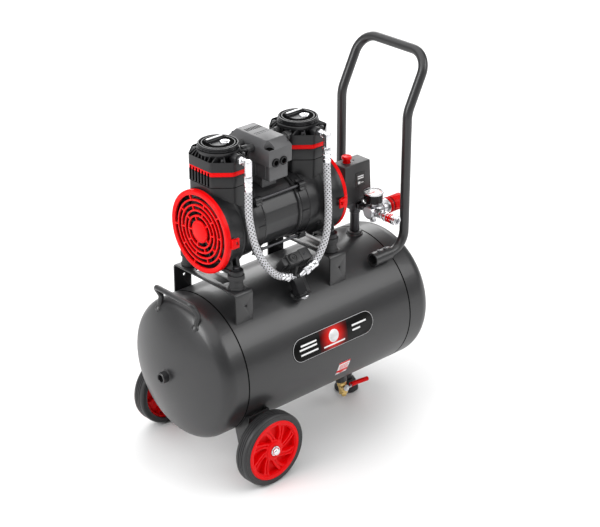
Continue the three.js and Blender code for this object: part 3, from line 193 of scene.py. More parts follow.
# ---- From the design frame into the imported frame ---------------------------

shell_low, shell_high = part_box("tank_shell")
head_low, head_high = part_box("tank_head_rear")
ORIGIN = Vector(((shell_low.x + shell_high.x) / 2, 0.0, (head_low.z + head_high.z) / 2))
INTO_FRAME = Matrix.Translation(ORIGIN) @ Matrix.Scale(MM, 4)


def in_frame(point):
    """A design point, in millimetres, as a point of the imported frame, in metres."""
    return INTO_FRAME @ Vector(point)


# ---- Materials -------------------------------------------------------------

class Wiring:
    """A material while its nodes are wired."""

    def __init__(self, name):
        self.material = bpy.data.materials.new(name)
        self.material.use_nodes = True
        self.tree = self.material.node_tree
        self.shader = self.tree.nodes["Principled BSDF"]

    def node(self, kind, settings=None, **inputs):
        made = self.tree.nodes.new("ShaderNode" + kind)
        for key, value in (settings or {}).items():
            setattr(made, key, value)
        for key, value in inputs.items():
            self.feed(made, key.replace("_", " "), value)
        return made

    def feed(self, node, key, value):
        socket = node.inputs[key]
        if isinstance(value, bpy.types.NodeSocket):
            self.tree.links.new(value, socket)
        else:
            socket.default_value = value

    def math(self, operation, first, second=0.0):
        made = self.node("Math", {"operation": operation})
        self.feed(made, 0, first)
        self.feed(made, 1, second)
        return made.outputs[0]

    def length(self, first, second):
        """The length of the line whose two sides are given."""
        squares = [self.math("MULTIPLY", side, side) for side in (first, second)]
        return self.math("SQRT", self.math("ADD", *squares))

    def place(self, scale=(1, 1, 1)):
        where = self.node("TexCoord").outputs["Object"]
        mapping = self.node("Mapping", Vector=where, Scale=scale)
        return mapping.outputs["Vector"]

    def noise(self, vector, scale, detail=3.0):
        made = self.node("TexNoise", Vector=vector, Scale=scale, Detail=detail)
        return made.outputs[0]

    def ranged(self, value, low, high):
        """0 to 1 spread over low to high."""
        made = self.node("MapRange", Value=value)
        made.inputs["To Min"].default_value = low
        made.inputs["To Max"].default_value = high
        return made.outputs[0]

    def smooth_step(self, value, start, end):
        """0 where value is at start, 1 where it is at end, with a soft rise between."""
        made = self.node("MapRange", {"interpolation_type": "SMOOTHSTEP"}, Value=value)
        made.inputs["From Min"].default_value = start
        made.inputs["From Max"].default_value = end
        return made.outputs[0]

    def mix(self, share, first, second):
        made = self.node("Mix", {"data_type": "RGBA"})
        for index, value in ((0, share), (6, first), (7, second)):
            self.feed(made, index, value)
        return made.outputs[2]

    def bump(self, height, strength, distance):
        made = self.node("Bump", Height=height, Strength=strength, Distance=distance)
        self.feed(self.shader, "Normal", made.outputs["Normal"])

    def set(self, **values):
        for key, value in values.items():
            self.feed(self.shader, key.replace("_", " "), value)


def rgb(red, green, blue):
    return (red, green, blue, 1.0)


def shade(colour, factor):
    return tuple(min(1.0, channel * factor) for channel in colour[:3]) + (1.0,)


def grained(name, colour, roughness, metallic=0.0, grain=900.0, depth=0.15, cloud=9.0, spread=0.12,
            stretch=(1, 1, 1), coat=0.0, specular=0.5):
    """A finish with a fine grain in its surface and a slow drift in its colour and gloss."""
    wiring = Wiring(name)
    where = wiring.place(scale=stretch)
    fine = wiring.noise(where, grain)
    slow = wiring.noise(where, cloud, 4.0)
    share = wiring.ranged(slow, 0.0, 1.0)
    base = wiring.mix(share, shade(colour, 1 - spread), shade(colour, 1 + spread))
    drift = 0.05
    gloss = wiring.math("ADD", wiring.ranged(fine, -drift, drift),
                        wiring.ranged(slow, roughness - drift, roughness + drift))
    wiring.set(Base_Color=base, Roughness=gloss, Metallic=metallic, Coat_Weight=coat)
    wiring.shader.inputs["Specular IOR Level"].default_value = specular
    wiring.bump(fine, depth, 0.0004)
    return wiring.material


def braid_finish():
    """Woven wire: two crossing sets of strands on the hose's own map, dark where they part."""
    wiring = Wiring("steel_braid")
    where = wiring.node("UVMap", {"uv_map": "around"}).outputs[0]
    split = wiring.node("SeparateXYZ", Vector=where)
    along, turn = split.outputs[0], split.outputs[1]
    rise = wiring.math("ADD", along, turn)
    fall = wiring.math("SUBTRACT", along, turn)
    waves = [wiring.math("SINE", wiring.math("MULTIPLY", value, 2 * math.pi)) for value in (rise, fall)]
    gap = wiring.math("MINIMUM", waves[0], waves[1])
    hole = wiring.smooth_step(gap, -0.15, 0.25)
    wires_in_strand = 6
    strand = wiring.math("SINE", wiring.math("MULTIPLY", rise, wires_in_strand * 2 * math.pi))
    sheen = wiring.ranged(strand, 0.45, 0.85)
    bright = wiring.mix(sheen, rgb(0.46, 0.46, 0.48), rgb(0.72, 0.72, 0.74))
    wiring.set(Base_Color=wiring.mix(hole, bright, rgb(0.015, 0.015, 0.016)),
               Metallic=wiring.ranged(hole, 0.3, 0.0), Roughness=wiring.ranged(hole, 0.38, 0.8))
    relief = wiring.math("SUBTRACT", wiring.math("MULTIPLY", strand, 0.06), hole)
    wiring.bump(relief, 0.6, 0.0005)
    return wiring.material


def band(wiring, value, low, high, soft):
    """1 where value lies between low and high, with soft edges."""
    above = wiring.smooth_step(value, low - soft, low + soft)
    below = wiring.smooth_step(value, high + soft, high - soft)
    return wiring.math("MULTIPLY", above, below)


def plate_finish():
    """The name plate: glossy black, with a red glow in its middle and a thin pale border."""
    wiring = Wiring("name_plate")
    where = wiring.node("UVMap", {"uv_map": "flat"}).outputs[0]
    split = wiring.node("SeparateXYZ", Vector=where)
    u, v = split.outputs[0], split.outputs[1]
    straight = (PLATE_HALF[0] - PLATE_HALF[1]) * MM
    panel_half, panel_edge = 0.034, 0.0208
    border_in, border_out = 0.0212, 0.0220
    glow_end, glow_start = 0.036, 0.004
    over = wiring.math("MAXIMUM", wiring.math("SUBTRACT", wiring.math("ABSOLUTE", u), straight), 0.0)
    reach = wiring.length(over, v)
    border = band(wiring, reach, border_in, border_out, 0.0002)
    middle = band(wiring, u, -panel_half, panel_half, 0.0004)
    glow = wiring.smooth_step(wiring.length(u, v), glow_end, glow_start)
    inside = wiring.math("MULTIPLY", middle, wiring.math("LESS_THAN", reach, panel_edge))
    panel = wiring.mix(glow, rgb(0.035, 0.0, 0.0), rgb(0.75, 0.02, 0.015))
    base = wiring.mix(inside, rgb(0.004, 0.004, 0.004), panel)
    wiring.set(Base_Color=wiring.mix(border, base, rgb(0.55, 0.55, 0.56)),
               Roughness=wiring.ranged(wiring.noise(wiring.place(), 60.0), 0.30, 0.38))
    wiring.shader.inputs["Specular IOR Level"].default_value = 0.08
    return wiring.material


def glass_finish():
    wiring = Wiring("gauge_glass")
    haze = wiring.noise(wiring.place(), 120.0)
    wiring.set(Base_Color=rgb(1, 1, 1), Roughness=wiring.ranged(haze, 0.02, 0.05), Transmission_Weight=1.0,
               IOR=1.2)
    return wiring.material


def make_finishes():
    """Each finish's name, with its material and the slot that it belongs to."""
    return {
        "tank_paint": (grained("tank_paint", rgb(0.015, 0.015, 0.016), 0.36, 0.0, 1100, 0.10, 6, 0.10,
                               coat=0.1, specular=0.55),
                       "tank_paint"),
        "housing": (grained("housing_paint", rgb(0.010, 0.010, 0.011), 0.33, 0.0, 1500, 0.12, 14, 0.14,
                            specular=0.4),
                    "housing_paint"),
        "barrel": (grained("barrel_paint", rgb(0.020, 0.020, 0.021), 0.32, 0.0, 1300, 0.08, 12, 0.12,
                           specular=0.45),
                   "black_plastic"),
        "dark_plastic": (grained("dark_plastic", rgb(0.008, 0.008, 0.009), 0.26, 0.0, 1700, 0.10, 15, 0.15,
                                 specular=0.22),
                         "black_plastic"),
        "switch_plastic": (grained("switch_plastic", rgb(0.026, 0.026, 0.027), 0.42, 0.0, 1500, 0.2, 12, 0.1),
                           "black_plastic"),
        "box_plastic": (grained("box_plastic", rgb(0.085, 0.085, 0.088), 0.38, 0.0, 1500, 0.2, 12, 0.1),
                        "grey_plastic"),
        "red_plastic": (grained("red_plastic", rgb(0.72, 0.001, 0.002), 0.30, 0.0, 700, 0.04, 10, 0.06,
                                specular=0.12),
                        "red_plastic"),
        "red_wheel": (grained("red_wheel", rgb(0.76, 0.001, 0.003), 0.30, 0.0, 800, 0.04, 14, 0.08,
                              specular=0.12),
                      "red_plastic"),
        "rubber": (grained("black_rubber", rgb(0.020, 0.020, 0.021), 0.62, 0.0, 900, 0.3, 20, 0.2), "rubber"),
        "tyre": (grained("tyre_rubber", rgb(0.016, 0.016, 0.017), 0.46, 0.0, 700, 0.22, 18, 0.18),
                 "tyre_rubber"),
        "chrome": (grained("bright_plate", rgb(0.80, 0.80, 0.82), 0.22, 1.0, 500, 0.03, 20, 0.04), "chrome"),
        "satin": (grained("satin_metal", rgb(0.62, 0.62, 0.64), 0.30, 1.0, 400, 0.10, 20, 0.08, (1, 1, 6)),
                  "chrome"),
        "steel": (grained("machined_steel", rgb(0.42, 0.42, 0.44), 0.32, 1.0, 600, 0.12, 25, 0.12, (1, 1, 5)),
                  "steel"),
        "dark_steel": (grained("blackened_steel", rgb(0.07, 0.07, 0.075), 0.36, 0.7, 600, 0.12, 25, 0.15),
                       "steel"),
        "brass": (grained("machined_brass", rgb(0.74, 0.52, 0.20), 0.26, 1.0, 500, 0.10, 25, 0.12, (1, 1, 4)),
                  "brass"),
        "copper": (grained("winding_wire", rgb(0.55, 0.24, 0.11), 0.35, 0.9, 300, 0.5, 30, 0.2, (12, 1, 1)),
                   "copper"),
        "dial": (grained("dial_card", rgb(0.95, 0.95, 0.94), 0.40, 0.0, 800, 0.02, 30, 0.02), "grey_plastic"),
        "ink": (grained("printed_ink", rgb(0.012, 0.012, 0.012), 0.38, 0.0, 800, 0.03, 30, 0.1),
                "black_plastic"),
        # Near-black, matt and nearly unreflecting: painted shade, laid into slots, grooves, seams and slits
        # where the real part is only in shadow.
        "gap": (grained("painted_shade_fill", rgb(0.002, 0.002, 0.002), 0.85, 0.0, 800, 0.02, 30, 0.1, specular=0.02),
                "black_plastic"),
        # Used for printed marks, and on the filter lids as a painted highlight.
        "print": (grained("pale_print_and_painted_gleam", rgb(0.80, 0.80, 0.80), 0.30, 0.0, 800, 0.02, 30, 0.03), "chrome"),
        "braid": (braid_finish(), "steel_braid"),
        "plate": (plate_finish(), "black_plastic"),
        "glass": (glass_finish(), "chrome"),
    }


FINISHES = make_finishes()

# ---- Scene helpers ---------------------------------------------------------

def put_in_scene(name, data):
    made = bpy.data.objects.new(name, data)
    bpy.context.scene.collection.objects.link(made)
    return made


def evaluated(holder):
    """A new bmesh of an object as its modifiers or its curve leave it."""
    shape = bmesh.new()
    shape.from_mesh(holder.evaluated_get(bpy.context.evaluated_depsgraph_get()).to_mesh())
    return shape


# ---- Shaping helpers. Each returns a bmesh in millimetres ------------------

AXES = {"x": Vector((1, 0, 0)), "y": Vector((0, 1, 0)), "z": Vector((0, 0, 1))}


def move(shape, offset):
    bmesh.ops.translate(shape, verts=shape.verts, vec=Vector(offset))
    return shape


def turn(shape, angle, axis="z", about=(0, 0, 0)):
    spin = Matrix.Rotation(angle, 3, AXES[axis])
    bmesh.ops.rotate(shape, verts=shape.verts, cent=Vector(about), matrix=spin)
    return shape


def aim(shape, direction):
    """Turns a shape built along +Z so that it runs along the given direction."""
    swing = AXES["z"].rotation_difference(Vector(direction)).to_matrix()
    bmesh.ops.rotate(shape, verts=shape.verts, cent=Vector(), matrix=swing)
    return shape


def flipped(shape, axis):
    """The mirror image across the plane through the origin, faces pointing out."""
    size = Vector((1, 1, 1))
    size["xyz".index(axis)] = -1
    bmesh.ops.scale(shape, verts=shape.verts, vec=size)
    bmesh.ops.reverse_faces(shape, faces=shape.faces)
    return shape


def joined(*shapes):
    """Several shapes as one, each keeping its own closed skin."""
    whole = bmesh.new()
    for shape in shapes:
        holder = bpy.data.meshes.new("holder")
        shape.to_mesh(holder)
        shape.free()
        whole.from_mesh(holder)
        bpy.data.meshes.remove(holder)
    return whole


def cleaned(shape):
    bmesh.ops.remove_doubles(shape, verts=shape.verts, dist=WELD)
    bmesh.ops.recalc_face_normals(shape, faces=shape.faces)
    return shape


def sharp_edges(shape, above=30.0):
    limit = math.radians(above)
    return [e for e in shape.edges if e.is_manifold and e.calc_face_angle(0.0) > limit]


def softened(shape, size, segments=2, above=30.0, keep=None):
    """Rounds the edges that turn by more than an angle, or those that keep() picks."""
    edges = [e for e in sharp_edges(shape, above) if keep is None or keep(e)]
    if edges and size > 0:
        bmesh.ops.bevel(shape, geom=edges, offset=size, offset_type="OFFSET", segments=segments, profile=0.5,
                        affect="EDGES", clamp_overlap=True, material=-1)
    return shape


def lathe(profile, axis="z", at=(0, 0, 0), steps=MIDDLE, ring=False):
    """A solid of revolution. The profile lists (place along the axis, radius)."""
    shape = bmesh.new()
    points = [shape.verts.new((radius, 0, along)) for along, radius in profile]
    pairs = list(zip(points, points[1:]))
    if ring:
        pairs.append((points[-1], points[0]))
    edges = [shape.edges.new(pair) for pair in pairs]
    bmesh.ops.spin(shape, geom=points + edges, cent=(0, 0, 0), axis=(0, 0, 1), angle=2 * math.pi,
                   steps=steps, use_merge=True)
    cleaned(shape)
    return move(aim(shape, AXES[axis]), at)


def rod(start, end, radius, sides=SMALL, edge=0.0):
    start, end = Vector(start), Vector(end)
    length = (end - start).length
    shape = bmesh.new()
    bmesh.ops.create_cone(shape, cap_ends=True, segments=sides, radius1=radius, radius2=radius, depth=length)
    if edge:
        softened(shape, edge, keep=lambda e: abs(e.verts[0].co.z - e.verts[1].co.z) < 1e-4)
    move(shape, (0, 0, length / 2))
    return move(aim(shape, end - start), start)


def hexagon(start, end, radius, edge=0.6):
    return rod(start, end, radius, sides=6, edge=edge)


def block(x0, x1, y0, y1, z0, z1, edge=0.0, segments=2):
    shape = bmesh.new()
    bmesh.ops.create_cube(shape, size=1.0)
    bmesh.ops.scale(shape, verts=shape.verts, vec=Vector((x1 - x0, y1 - y0, z1 - z0)))
    move(shape, ((x0 + x1) / 2, (y0 + y1) / 2, (z0 + z1) / 2))
    return softened(shape, edge, segments)


def slab(outline, low, high, axis="z", edge=0.0, segments=2, corner=0.0, corner_steps=4):
    """A flat outline pulled from low to high.

    The outline lies in XY when pulled along z, in YZ along x, and in XZ along y.
    """
    shape = bmesh.new()
    face = shape.faces.new([shape.verts.new((u, v, low)) for u, v in outline])
    pulled = bmesh.ops.extrude_face_region(shape, geom=[face])
    top = [item for item in pulled["geom"] if isinstance(item, bmesh.types.BMVert)]
    bmesh.ops.translate(shape, verts=top, vec=(0, 0, high - low))
    cleaned(shape)
    if corner:
        softened(shape, corner, corner_steps, 10.0,
                 keep=lambda e: abs((e.verts[0].co - e.verts[1].co).normalized().z) > 0.9)
    softened(shape, edge, segments, 40.0, keep=lambda e: abs(e.verts[0].co.z - e.verts[1].co.z) < 1e-4)
    if axis == "x":
        swap = Matrix(((0, 0, 1), (1, 0, 0), (0, 1, 0)))
    elif axis == "y":
        swap = Matrix(((1, 0, 0), (0, 0, 1), (0, 1, 0)))
    else:
        return shape
    shape.transform(swap.to_4x4())
    if swap.determinant() < 0:
        bmesh.ops.reverse_faces(shape, faces=shape.faces)
    return shape


def arc(centre, radius, start, end, steps):
    """Points on an arc, angles in degrees."""
    angles = [math.radians(start + (end - start) * i / steps) for i in range(steps + 1)]
    return [(centre[0] + radius * math.cos(a), centre[1] + radius * math.sin(a)) for a in angles]


def oblong(half_length, half_height, steps=10):
    """A long outline with round ends."""
    straight = half_length - half_height
    return arc((straight, 0), half_height, -90, 90, steps) + arc((-straight, 0), half_height, 90, 270, steps)


def carved(shape, *tools):
    """The shape with the tools cut out of it."""
    holders = []
    for source in (shape, joined(*tools)):
        mesh = bpy.data.meshes.new("carving")
        source.to_mesh(mesh)
        source.free()
        holders.append(put_in_scene("carving", mesh))
    body, cutter = holders
    cutting = body.modifiers.new("cut", "BOOLEAN")
    cutting.operation = "DIFFERENCE"
    cutting.solver = "EXACT"
    cutting.use_self = True
    cutting.object = cutter
    result = evaluated(body)
    for holder in holders:
        mesh = holder.data
        bpy.data.objects.remove(holder)
        bpy.data.meshes.remove(mesh)
    bmesh.ops.dissolve_degenerate(result, dist=WELD, edges=result.edges)
    return result


def tube(points, radius, sides=MIDDLE):
    """A round tube along a list of points, closed at both ends."""
    curve = bpy.data.curves.new("route", "CURVE")
    curve.dimensions = "3D"
    curve.bevel_depth = radius
    curve.bevel_resolution = sides // 4 - 1
    curve.use_fill_caps = True
    line = curve.splines.new("POLY")
    line.points.add(len(points) - 1)
    for point, place in zip(line.points, points):
        point.co = (*place, 1.0)
    holder = put_in_scene("route", curve)
    shape = evaluated(holder)
    bpy.data.objects.remove(holder)
    bpy.data.curves.remove(curve)
    return cleaned(shape)


def bent_line(corners, radii, steps=10):
    """Points along straight runs whose corners are rounded to the given radii."""
    corners = [Vector(corner) for corner in corners]
    line = [corners[0]]
    for before, corner, after, radius in zip(corners, corners[1:], corners[2:], radii):
        into = (corner - before).normalized()
        out = (after - corner).normalized()
        angle = into.angle(out)
        start = corner - into * radius * math.tan(angle / 2)
        inward = (out - into * math.cos(angle)).normalized()
        centre = start + inward * radius
        for k in range(steps + 1):
            swing = angle * k / steps
            line.append(centre + (into * math.sin(swing) - inward * math.cos(swing)) * radius)
    line.append(corners[-1])
    return line


def smooth_line(points, steps=8):
    """A smooth curve through a few points, with its knots spaced by distance."""
    points = [Vector(point) for point in points]
    ends = [points[0] * 2 - points[1], *points, points[-1] * 2 - points[-2]]
    line = []
    for p0, p1, p2, p3 in zip(ends, ends[1:], ends[2:], ends[3:]):
        t0 = 0.0
        t1 = t0 + math.sqrt((p1 - p0).length)
        t2 = t1 + math.sqrt((p2 - p1).length)
        t3 = t2 + math.sqrt((p3 - p2).length)
        for k in range(steps):
            t = t1 + (t2 - t1) * k / steps
            a1 = p0.lerp(p1, (t - t0) / (t1 - t0))
            a2 = p1.lerp(p2, (t - t1) / (t2 - t1))
            a3 = p2.lerp(p3, (t - t2) / (t3 - t2))
            b1 = a1.lerp(a2, (t - t0) / (t2 - t0))
            b2 = a2.lerp(a3, (t - t1) / (t3 - t1))
            line.append(b1.lerp(b2, (t - t1) / (t2 - t1)))
    line.append(points[-1])
    return line


def around(count, make, axis="z", start=0.0):
    """One shape made count times, spread evenly round an axis through the origin."""
    return joined(*[turn(make(), start + 2 * math.pi * k / count, axis) for k in range(count)])


def piece(name, shape, finish, body="frame", stands_for=(), crease=32.0):
    """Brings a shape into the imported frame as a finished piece."""
    shape.transform(INTO_FRAME)
    for face in shape.faces:
        face.smooth = True
    mesh = bpy.data.meshes.new(name)
    shape.to_mesh(mesh)
    shape.free()
    mesh.set_sharp_from_angle(angle=math.radians(crease))
    material, slot = FINISHES[finish]
    mesh.materials.append(material)
    made = put_in_scene(name, mesh)
    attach(made, body)
    if stands_for:
        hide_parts(*stands_for)


def screw_head(at, direction, radius=3.4, height=2.4):
    """A socket-head screw, its head standing up from a point along a direction."""
    socket = radius * 0.5
    head = lathe([(0, 0), (0, radius), (height - 0.4, radius), (height, radius - 0.4), (height, socket),
                  (height * 0.4, socket), (height * 0.4, 0)], steps=SMALL)
    return move(aim(head, direction), at)


# ---- Tank ------------------------------------------------------------------

drain_down = Vector((0, -math.sin(DRAIN_TILT), -math.cos(DRAIN_TILT)))
drain_side = Vector((0, -math.cos(DRAIN_TILT), math.sin(DRAIN_TILT)))


def drain_point(radius, x=DRAIN_X, out=0.0):
    """A point of the drain valve: distance from the tank's axis, place along it, and side offset."""
    return Vector((x, 0, 0)) + drain_down * radius + drain_side * out


def head_curve(flange, inset):
    """The outline of a dished head from its open rim to its crown, as (along, radius)."""
    knuckle, crown = KNUCKLE_R - inset, CROWN_R - inset
    offset = TANK_R - KNUCKLE_R
    rise = math.sqrt((CROWN_R - KNUCKLE_R) ** 2 - offset ** 2)
    meeting = math.degrees(math.atan2(offset, rise))
    points = arc((flange, offset), knuckle, 90, meeting, 12)
    points += arc((flange - rise, 0), crown, meeting, 0, 20)[1:]
    points[-1] = (points[-1][0], 0.0)
    return points


def dished_head(flange):
    chamfer = 0.9
    outer = [(0, TANK_R - chamfer), (chamfer, TANK_R)] + head_curve(flange, 0)
    inner = [(0, TANK_R - TANK_WALL)] + head_curve(flange, TANK_WALL)
    return lathe(inner[::-1] + outer, "x", steps=ROUND * 2)


def make_tank():
    chamfer, half, gap = 1.3, SEAM_X, 0.3
    wall = [(-half, TANK_R - TANK_WALL), (-half, TANK_R - chamfer), (-half + chamfer, TANK_R),
            (half - chamfer, TANK_R), (half, TANK_R - chamfer), (half, TANK_R - TANK_WALL)]
    shell = lathe(wall, "x", steps=ROUND * 2, ring=True)
    collar = lathe([(128, 7.8), (128, 14), (138.4, 14), (139.4, 13.4), (140.2, 12), (140.6, 9.6),
                    (139.6, 7.8)], at=(RISER_X, 0, 0), ring=True)
    collar_weld = lathe([(130, 10), (134.2, 16.2), (135.4, 15.0), (135.6, 13)], at=(RISER_X, 0, 0), ring=True)
    boss = move(aim(lathe([(128, 5), (128, 11), (151, 11), (152, 10), (152, 5)], ring=True), drain_down),
                (DRAIN_X, 0, 0))
    boss_weld = move(aim(lathe([(129, 8), (134.4, 14), (136, 13), (137, 10)], ring=True), drain_down),
                     (DRAIN_X, 0, 0))
    piece("tank_shell_skin", joined(shell, collar, collar_weld, boss, boss_weld), "tank_paint",
          stands_for=["tank_shell"])

    crown = -half - gap - head_curve(FRONT_FLANGE, 0)[-1][0]
    front = move(flipped(dished_head(FRONT_FLANGE), "x"), (-half - gap, 0, 0))
    port = lathe([(crown + 2, 7.0), (crown + 2, 10.6), (crown - 12.2, 10.6), (crown - 13, 9.8),
                  (crown - 13, 7.6), (crown - 12.4, 7.0)], "x", ring=True)
    port_weld = lathe([(crown + 3, 9), (crown + 1.6, 13.4), (crown - 0.2, 12.4), (crown - 1.0, 10.2)], "x",
                      ring=True)
    hollow = rod((crown - 20, 0, 0), (crown + 12, 0, 0), 9.2, MIDDLE)
    front = carved(front, hollow)
    piece("tank_front_end", joined(front, port, port_weld), "tank_paint", stands_for=["tank_head_front"])
    # Near-black bands in the two seam grooves between shell and heads: painted shade in the joints.
    inner, outer = TANK_R - 4, TANK_R + 0.15
    seams = []
    for x in (-half, half):
        line = [(x - chamfer, inner), (x - chamfer, outer), (x + chamfer, outer), (x + chamfer, inner)]
        seams.append(lathe(line, "x", steps=ROUND * 2, ring=True))
    piece("tank_seam_shade", joined(*seams), "gap")
    piece("tank_rear_end", move(dished_head(REAR_FLANGE), (half + gap, 0, 0)), "tank_paint",
          stands_for=["tank_head_rear"])


# ---- Name plate and sticker, wrapped on the tank ---------------------------

def wrapped(outline, centre_x, angle, lift, thickness, edge=0.2):
    """A thin plate on the tank's side: X along the tank, Y of the outline round it, with a flat map."""
    plate = slab(outline, 0, thickness, edge=edge, segments=1)
    reach = max(abs(v) for _, v in outline)
    steps = max(2, int(reach / 1.5))
    for k in range(1 - steps, steps):
        everything = list(plate.verts) + list(plate.edges) + list(plate.faces)
        bmesh.ops.bisect_plane(plate, geom=everything, dist=1e-5, plane_co=(0, reach * k / steps, 0),
                               plane_no=(0, 1, 0))
    layer = plate.loops.layers.uv.new("flat")
    for face in plate.faces:
        for loop in face.loops:
            loop[layer].uv = (loop.vert.co.x * MM, loop.vert.co.y * MM)
    for vert in plate.verts:
        u, v, height = vert.co
        swing = math.radians(angle) + v / TANK_R
        radius = TANK_R + lift + height
        vert.co = (centre_x + u, -math.cos(swing) * radius, math.sin(swing) * radius)
    return plate


def rectangle(x0, x1, y0, y1):
    return [(x0, y0), (x1, y0), (x1, y1), (x0, y1)]


def make_labels():
    def plate(outline, lift, thickness, edge=0.2):
        return wrapped(outline, *PLATE_MIDDLE, lift, thickness, edge)

    piece("name_plate", plate(oblong(*PLATE_HALF, 16), 0.05, 0.5), "plate", crease=50)
    marks = [rectangle(x0, x1, y - 1.7, y + 1.7)
             for x0, x1, y in ((-80, -42, 7.5), (-84, -42, 0.5), (-82, -40, -9.5), (46, 82, 5.5),
                               (46, 66, -3.5))]
    marks += [arc((0, 2), reach, 0, 360, 30) + arc((0, 2), reach - 1.8, 360, 0, 30) for reach in (12.0, 6.5)]
    marks.append(rectangle(-26, 26, -15, -12))
    bars = [plate(mark, 0.45, 0.2, 0.05) for mark in marks]
    piece("name_plate_bars", joined(*bars), "print", crease=50)

    card = wrapped(rectangle(-14, 14, -16, 16), *CARD_MIDDLE, 0.05, 0.25, 0.05)
    piece("side_sticker", card, "print", crease=50)
    marks = [rectangle(-14, 14, 12.5, 16), rectangle(-14, 14, -11, -4), [(-8, -11.5), (0, -15.6), (8, -11.5)]]
    marks += [rectangle(-11, 11, -1 + 4 * k, 0.6 + 4 * k) for k in range(3)]
    red = [wrapped(mark, *CARD_MIDDLE, 0.28, 0.12, 0.02) for mark in marks]
    piece("side_sticker_print", joined(*red), "red_plastic", crease=50)


# ---- Wheels and foot -------------------------------------------------------

def beside_spoke(k, share, offset):
    """A point beside the middle line of spoke k, at a share of the way from hub to rim."""
    radius = SPOKE_ROOT + SPOKE_LENGTH * share
    angle = 2 * math.pi * k / SPOKES + SPOKE_SWEEP * share ** 0.8 + offset / radius
    return (radius * math.cos(angle), radius * math.sin(angle))


def window_outline(k):
    """One opening between two swept spokes, drawn about the wheel's centre."""
    shares = [i / 10 for i in range(11)]
    first = [beside_spoke(k, share, 4.8 + 2.6 * share ** 3) for share in shares]
    second = [beside_spoke(k + 1, share, -4.8 - 2.6 * share ** 3) for share in shares]
    return first + second[::-1]


def groove_outline(k):
    """The channel that runs down the middle of a spoke."""
    shares = [(1.5 + 2.6 * i) / SPOKE_LENGTH for i in range(11)]
    first = [beside_spoke(k, share, -1.5 - share) for share in shares]
    second = [beside_spoke(k, share, 1.5 + share) for share in shares]
    return first + second[::-1]


def wheel_shape():
    """The spoked wheel about its own axis: outer face at z = 0, body towards -z."""
    depth = TYRE_WIDTH - 3
    web = lathe([(-1.5, 7.4), (-1.5, 18), (-3.0, 22), (-2.6, 46), (-1.5, 52), (-15, 52), (-15, 7.4)],
                steps=ROUND,
                ring=True)
    windows = [slab(window_outline(k), -11.5, 3, corner=3.4) for k in range(SPOKES)]
    grooves = [slab(groove_outline(k), -4.6, 3, corner=0.8, corner_steps=2) for k in range(SPOKES)]
    web = softened(carved(web, *windows, *grooves), 0.45, 2, 50.0)
    rim = lathe([(0, 50.5), (0.3, 51.5), (0.3, RIM_R - 1.0), (-0.7, RIM_R), (-depth, RIM_R),
                 (-depth, RIM_R - 3), (-depth / 2, RIM_R - 5), (-6, 50.2), (-1.0, 49.9)],
                steps=ROUND, ring=True)
    boss = lathe([(0.6, 10), (0.6, 15), (-0.6, 17.5), (-4, 18.2), (-depth - 4, 13), (-depth - 4, 7.4),
                  (-4, 7.4), (-4, 10)], ring=True)
    ribs = around(SPOKES, lambda: block(16, 53, -1.1, 1.1, -depth + 3, -8), start=0.25)
    return joined(web, rim, boss, ribs)


def tyre_shape():
    inner, width, floor = RIM_R + 0.3, TYRE_WIDTH, TYRE_R - 1.1
    outer = [(0, inner), (0, inner + 1.2), (0.9, inner + 2.2), (0.9, 65.0), (0.3, 66.0), (1.2, 68.0),
             (3.2, 69.6), (5.5, TYRE_R)]
    tread = []
    for groove in (9.5, width / 2, width - 9.5):
        tread += [(groove - 0.9, TYRE_R), (groove - 0.5, floor), (groove + 0.5, floor),
                  (groove + 0.9, TYRE_R)]
    profile = outer + tread + [(width - along, radius) for along, radius in outer[::-1]]
    return lathe([(-along, radius) for along, radius in profile], steps=ROUND, ring=True)


def make_wheels():
    for side, sign in SIDES:
        def placed(shape, face=WHEEL_FACE_Y):
            standing = turn(shape, math.pi / 2, "x")
            if sign > 0:
                flipped(standing, "y")
            return move(standing, (WHEEL_X, sign * face, WHEEL_Z))

        body = f"wheel_{side}"
        piece(f"spoked_wheel_{side}", placed(wheel_shape()), "red_wheel", body, [f"wheel_hub_{side}"])
        tyre = placed(tyre_shape(), WHEEL_FACE_Y - 0.5)
        piece(f"wheel_tyre_{side}", tyre, "tyre", body, [f"tyre_{side}"], crease=25)
        pin = lathe([(-43, 0), (-43, 7), (2.2, 7), (2.2, 0)])
        nut = softened(rod((0, 0, 1.6), (0, 0, 5.2), 8.4, 6), 0.5)
        dome = lathe([(5.0, 0), (5.0, 7.0), (6.0, 6.8), (7.2, 6.0), (7.9, 4.6), (8.3, 2.8), (8.4, 0.6),
                      (8.4, 0)])
        washer = lathe([(0.8, 0), (0.8, 9.2), (1.6, 9.2), (1.6, 0)])
        shoulder = lathe([(-35, 0), (-35, 11), (-31.6, 11), (-31.6, 0)])
        piece(f"axle_pin_{side}", placed(joined(pin, nut, dome, washer, shoulder)), "chrome",
              stands_for=[f"axle_{side}"])
        back_nut = hexagon((0, 0, -39.8), (0, 0, -48), 11)
        piece(f"axle_nut_{side}", placed(back_nut), "steel")
        make_bracket(side, sign)


def make_bracket(side, sign):
    x0, x1, sheet = -197.0, -148.0, 4.0
    outer, low, top = -126.0, WHEEL_Z - 24, -64.0
    outline = [(-88, -104), (-102, low), (outer, low), (outer, top), (-100, top), (-88, -90)]
    flanges = [slab(outline, x, x + sheet, "x", 0.6, corner=3.0) for x in (x0, x1 - sheet)]
    web = block(x0, x1, outer, outer + sheet, low, top, 1.2)
    hole = rod((WHEEL_X, outer - 5, WHEEL_Z), (WHEEL_X, outer + 8, WHEEL_Z), 7.4, MIDDLE)
    web = carved(web, hole)
    foot = block(x0, x1, -126, -96, low, low + sheet, 0.8)
    shape = joined(*flanges, web, foot)
    if sign > 0:
        flipped(shape, "y")
    piece(f"wheel_channel_{side}", shape, "tank_paint", stands_for=[f"wheel_bracket_{side}"])


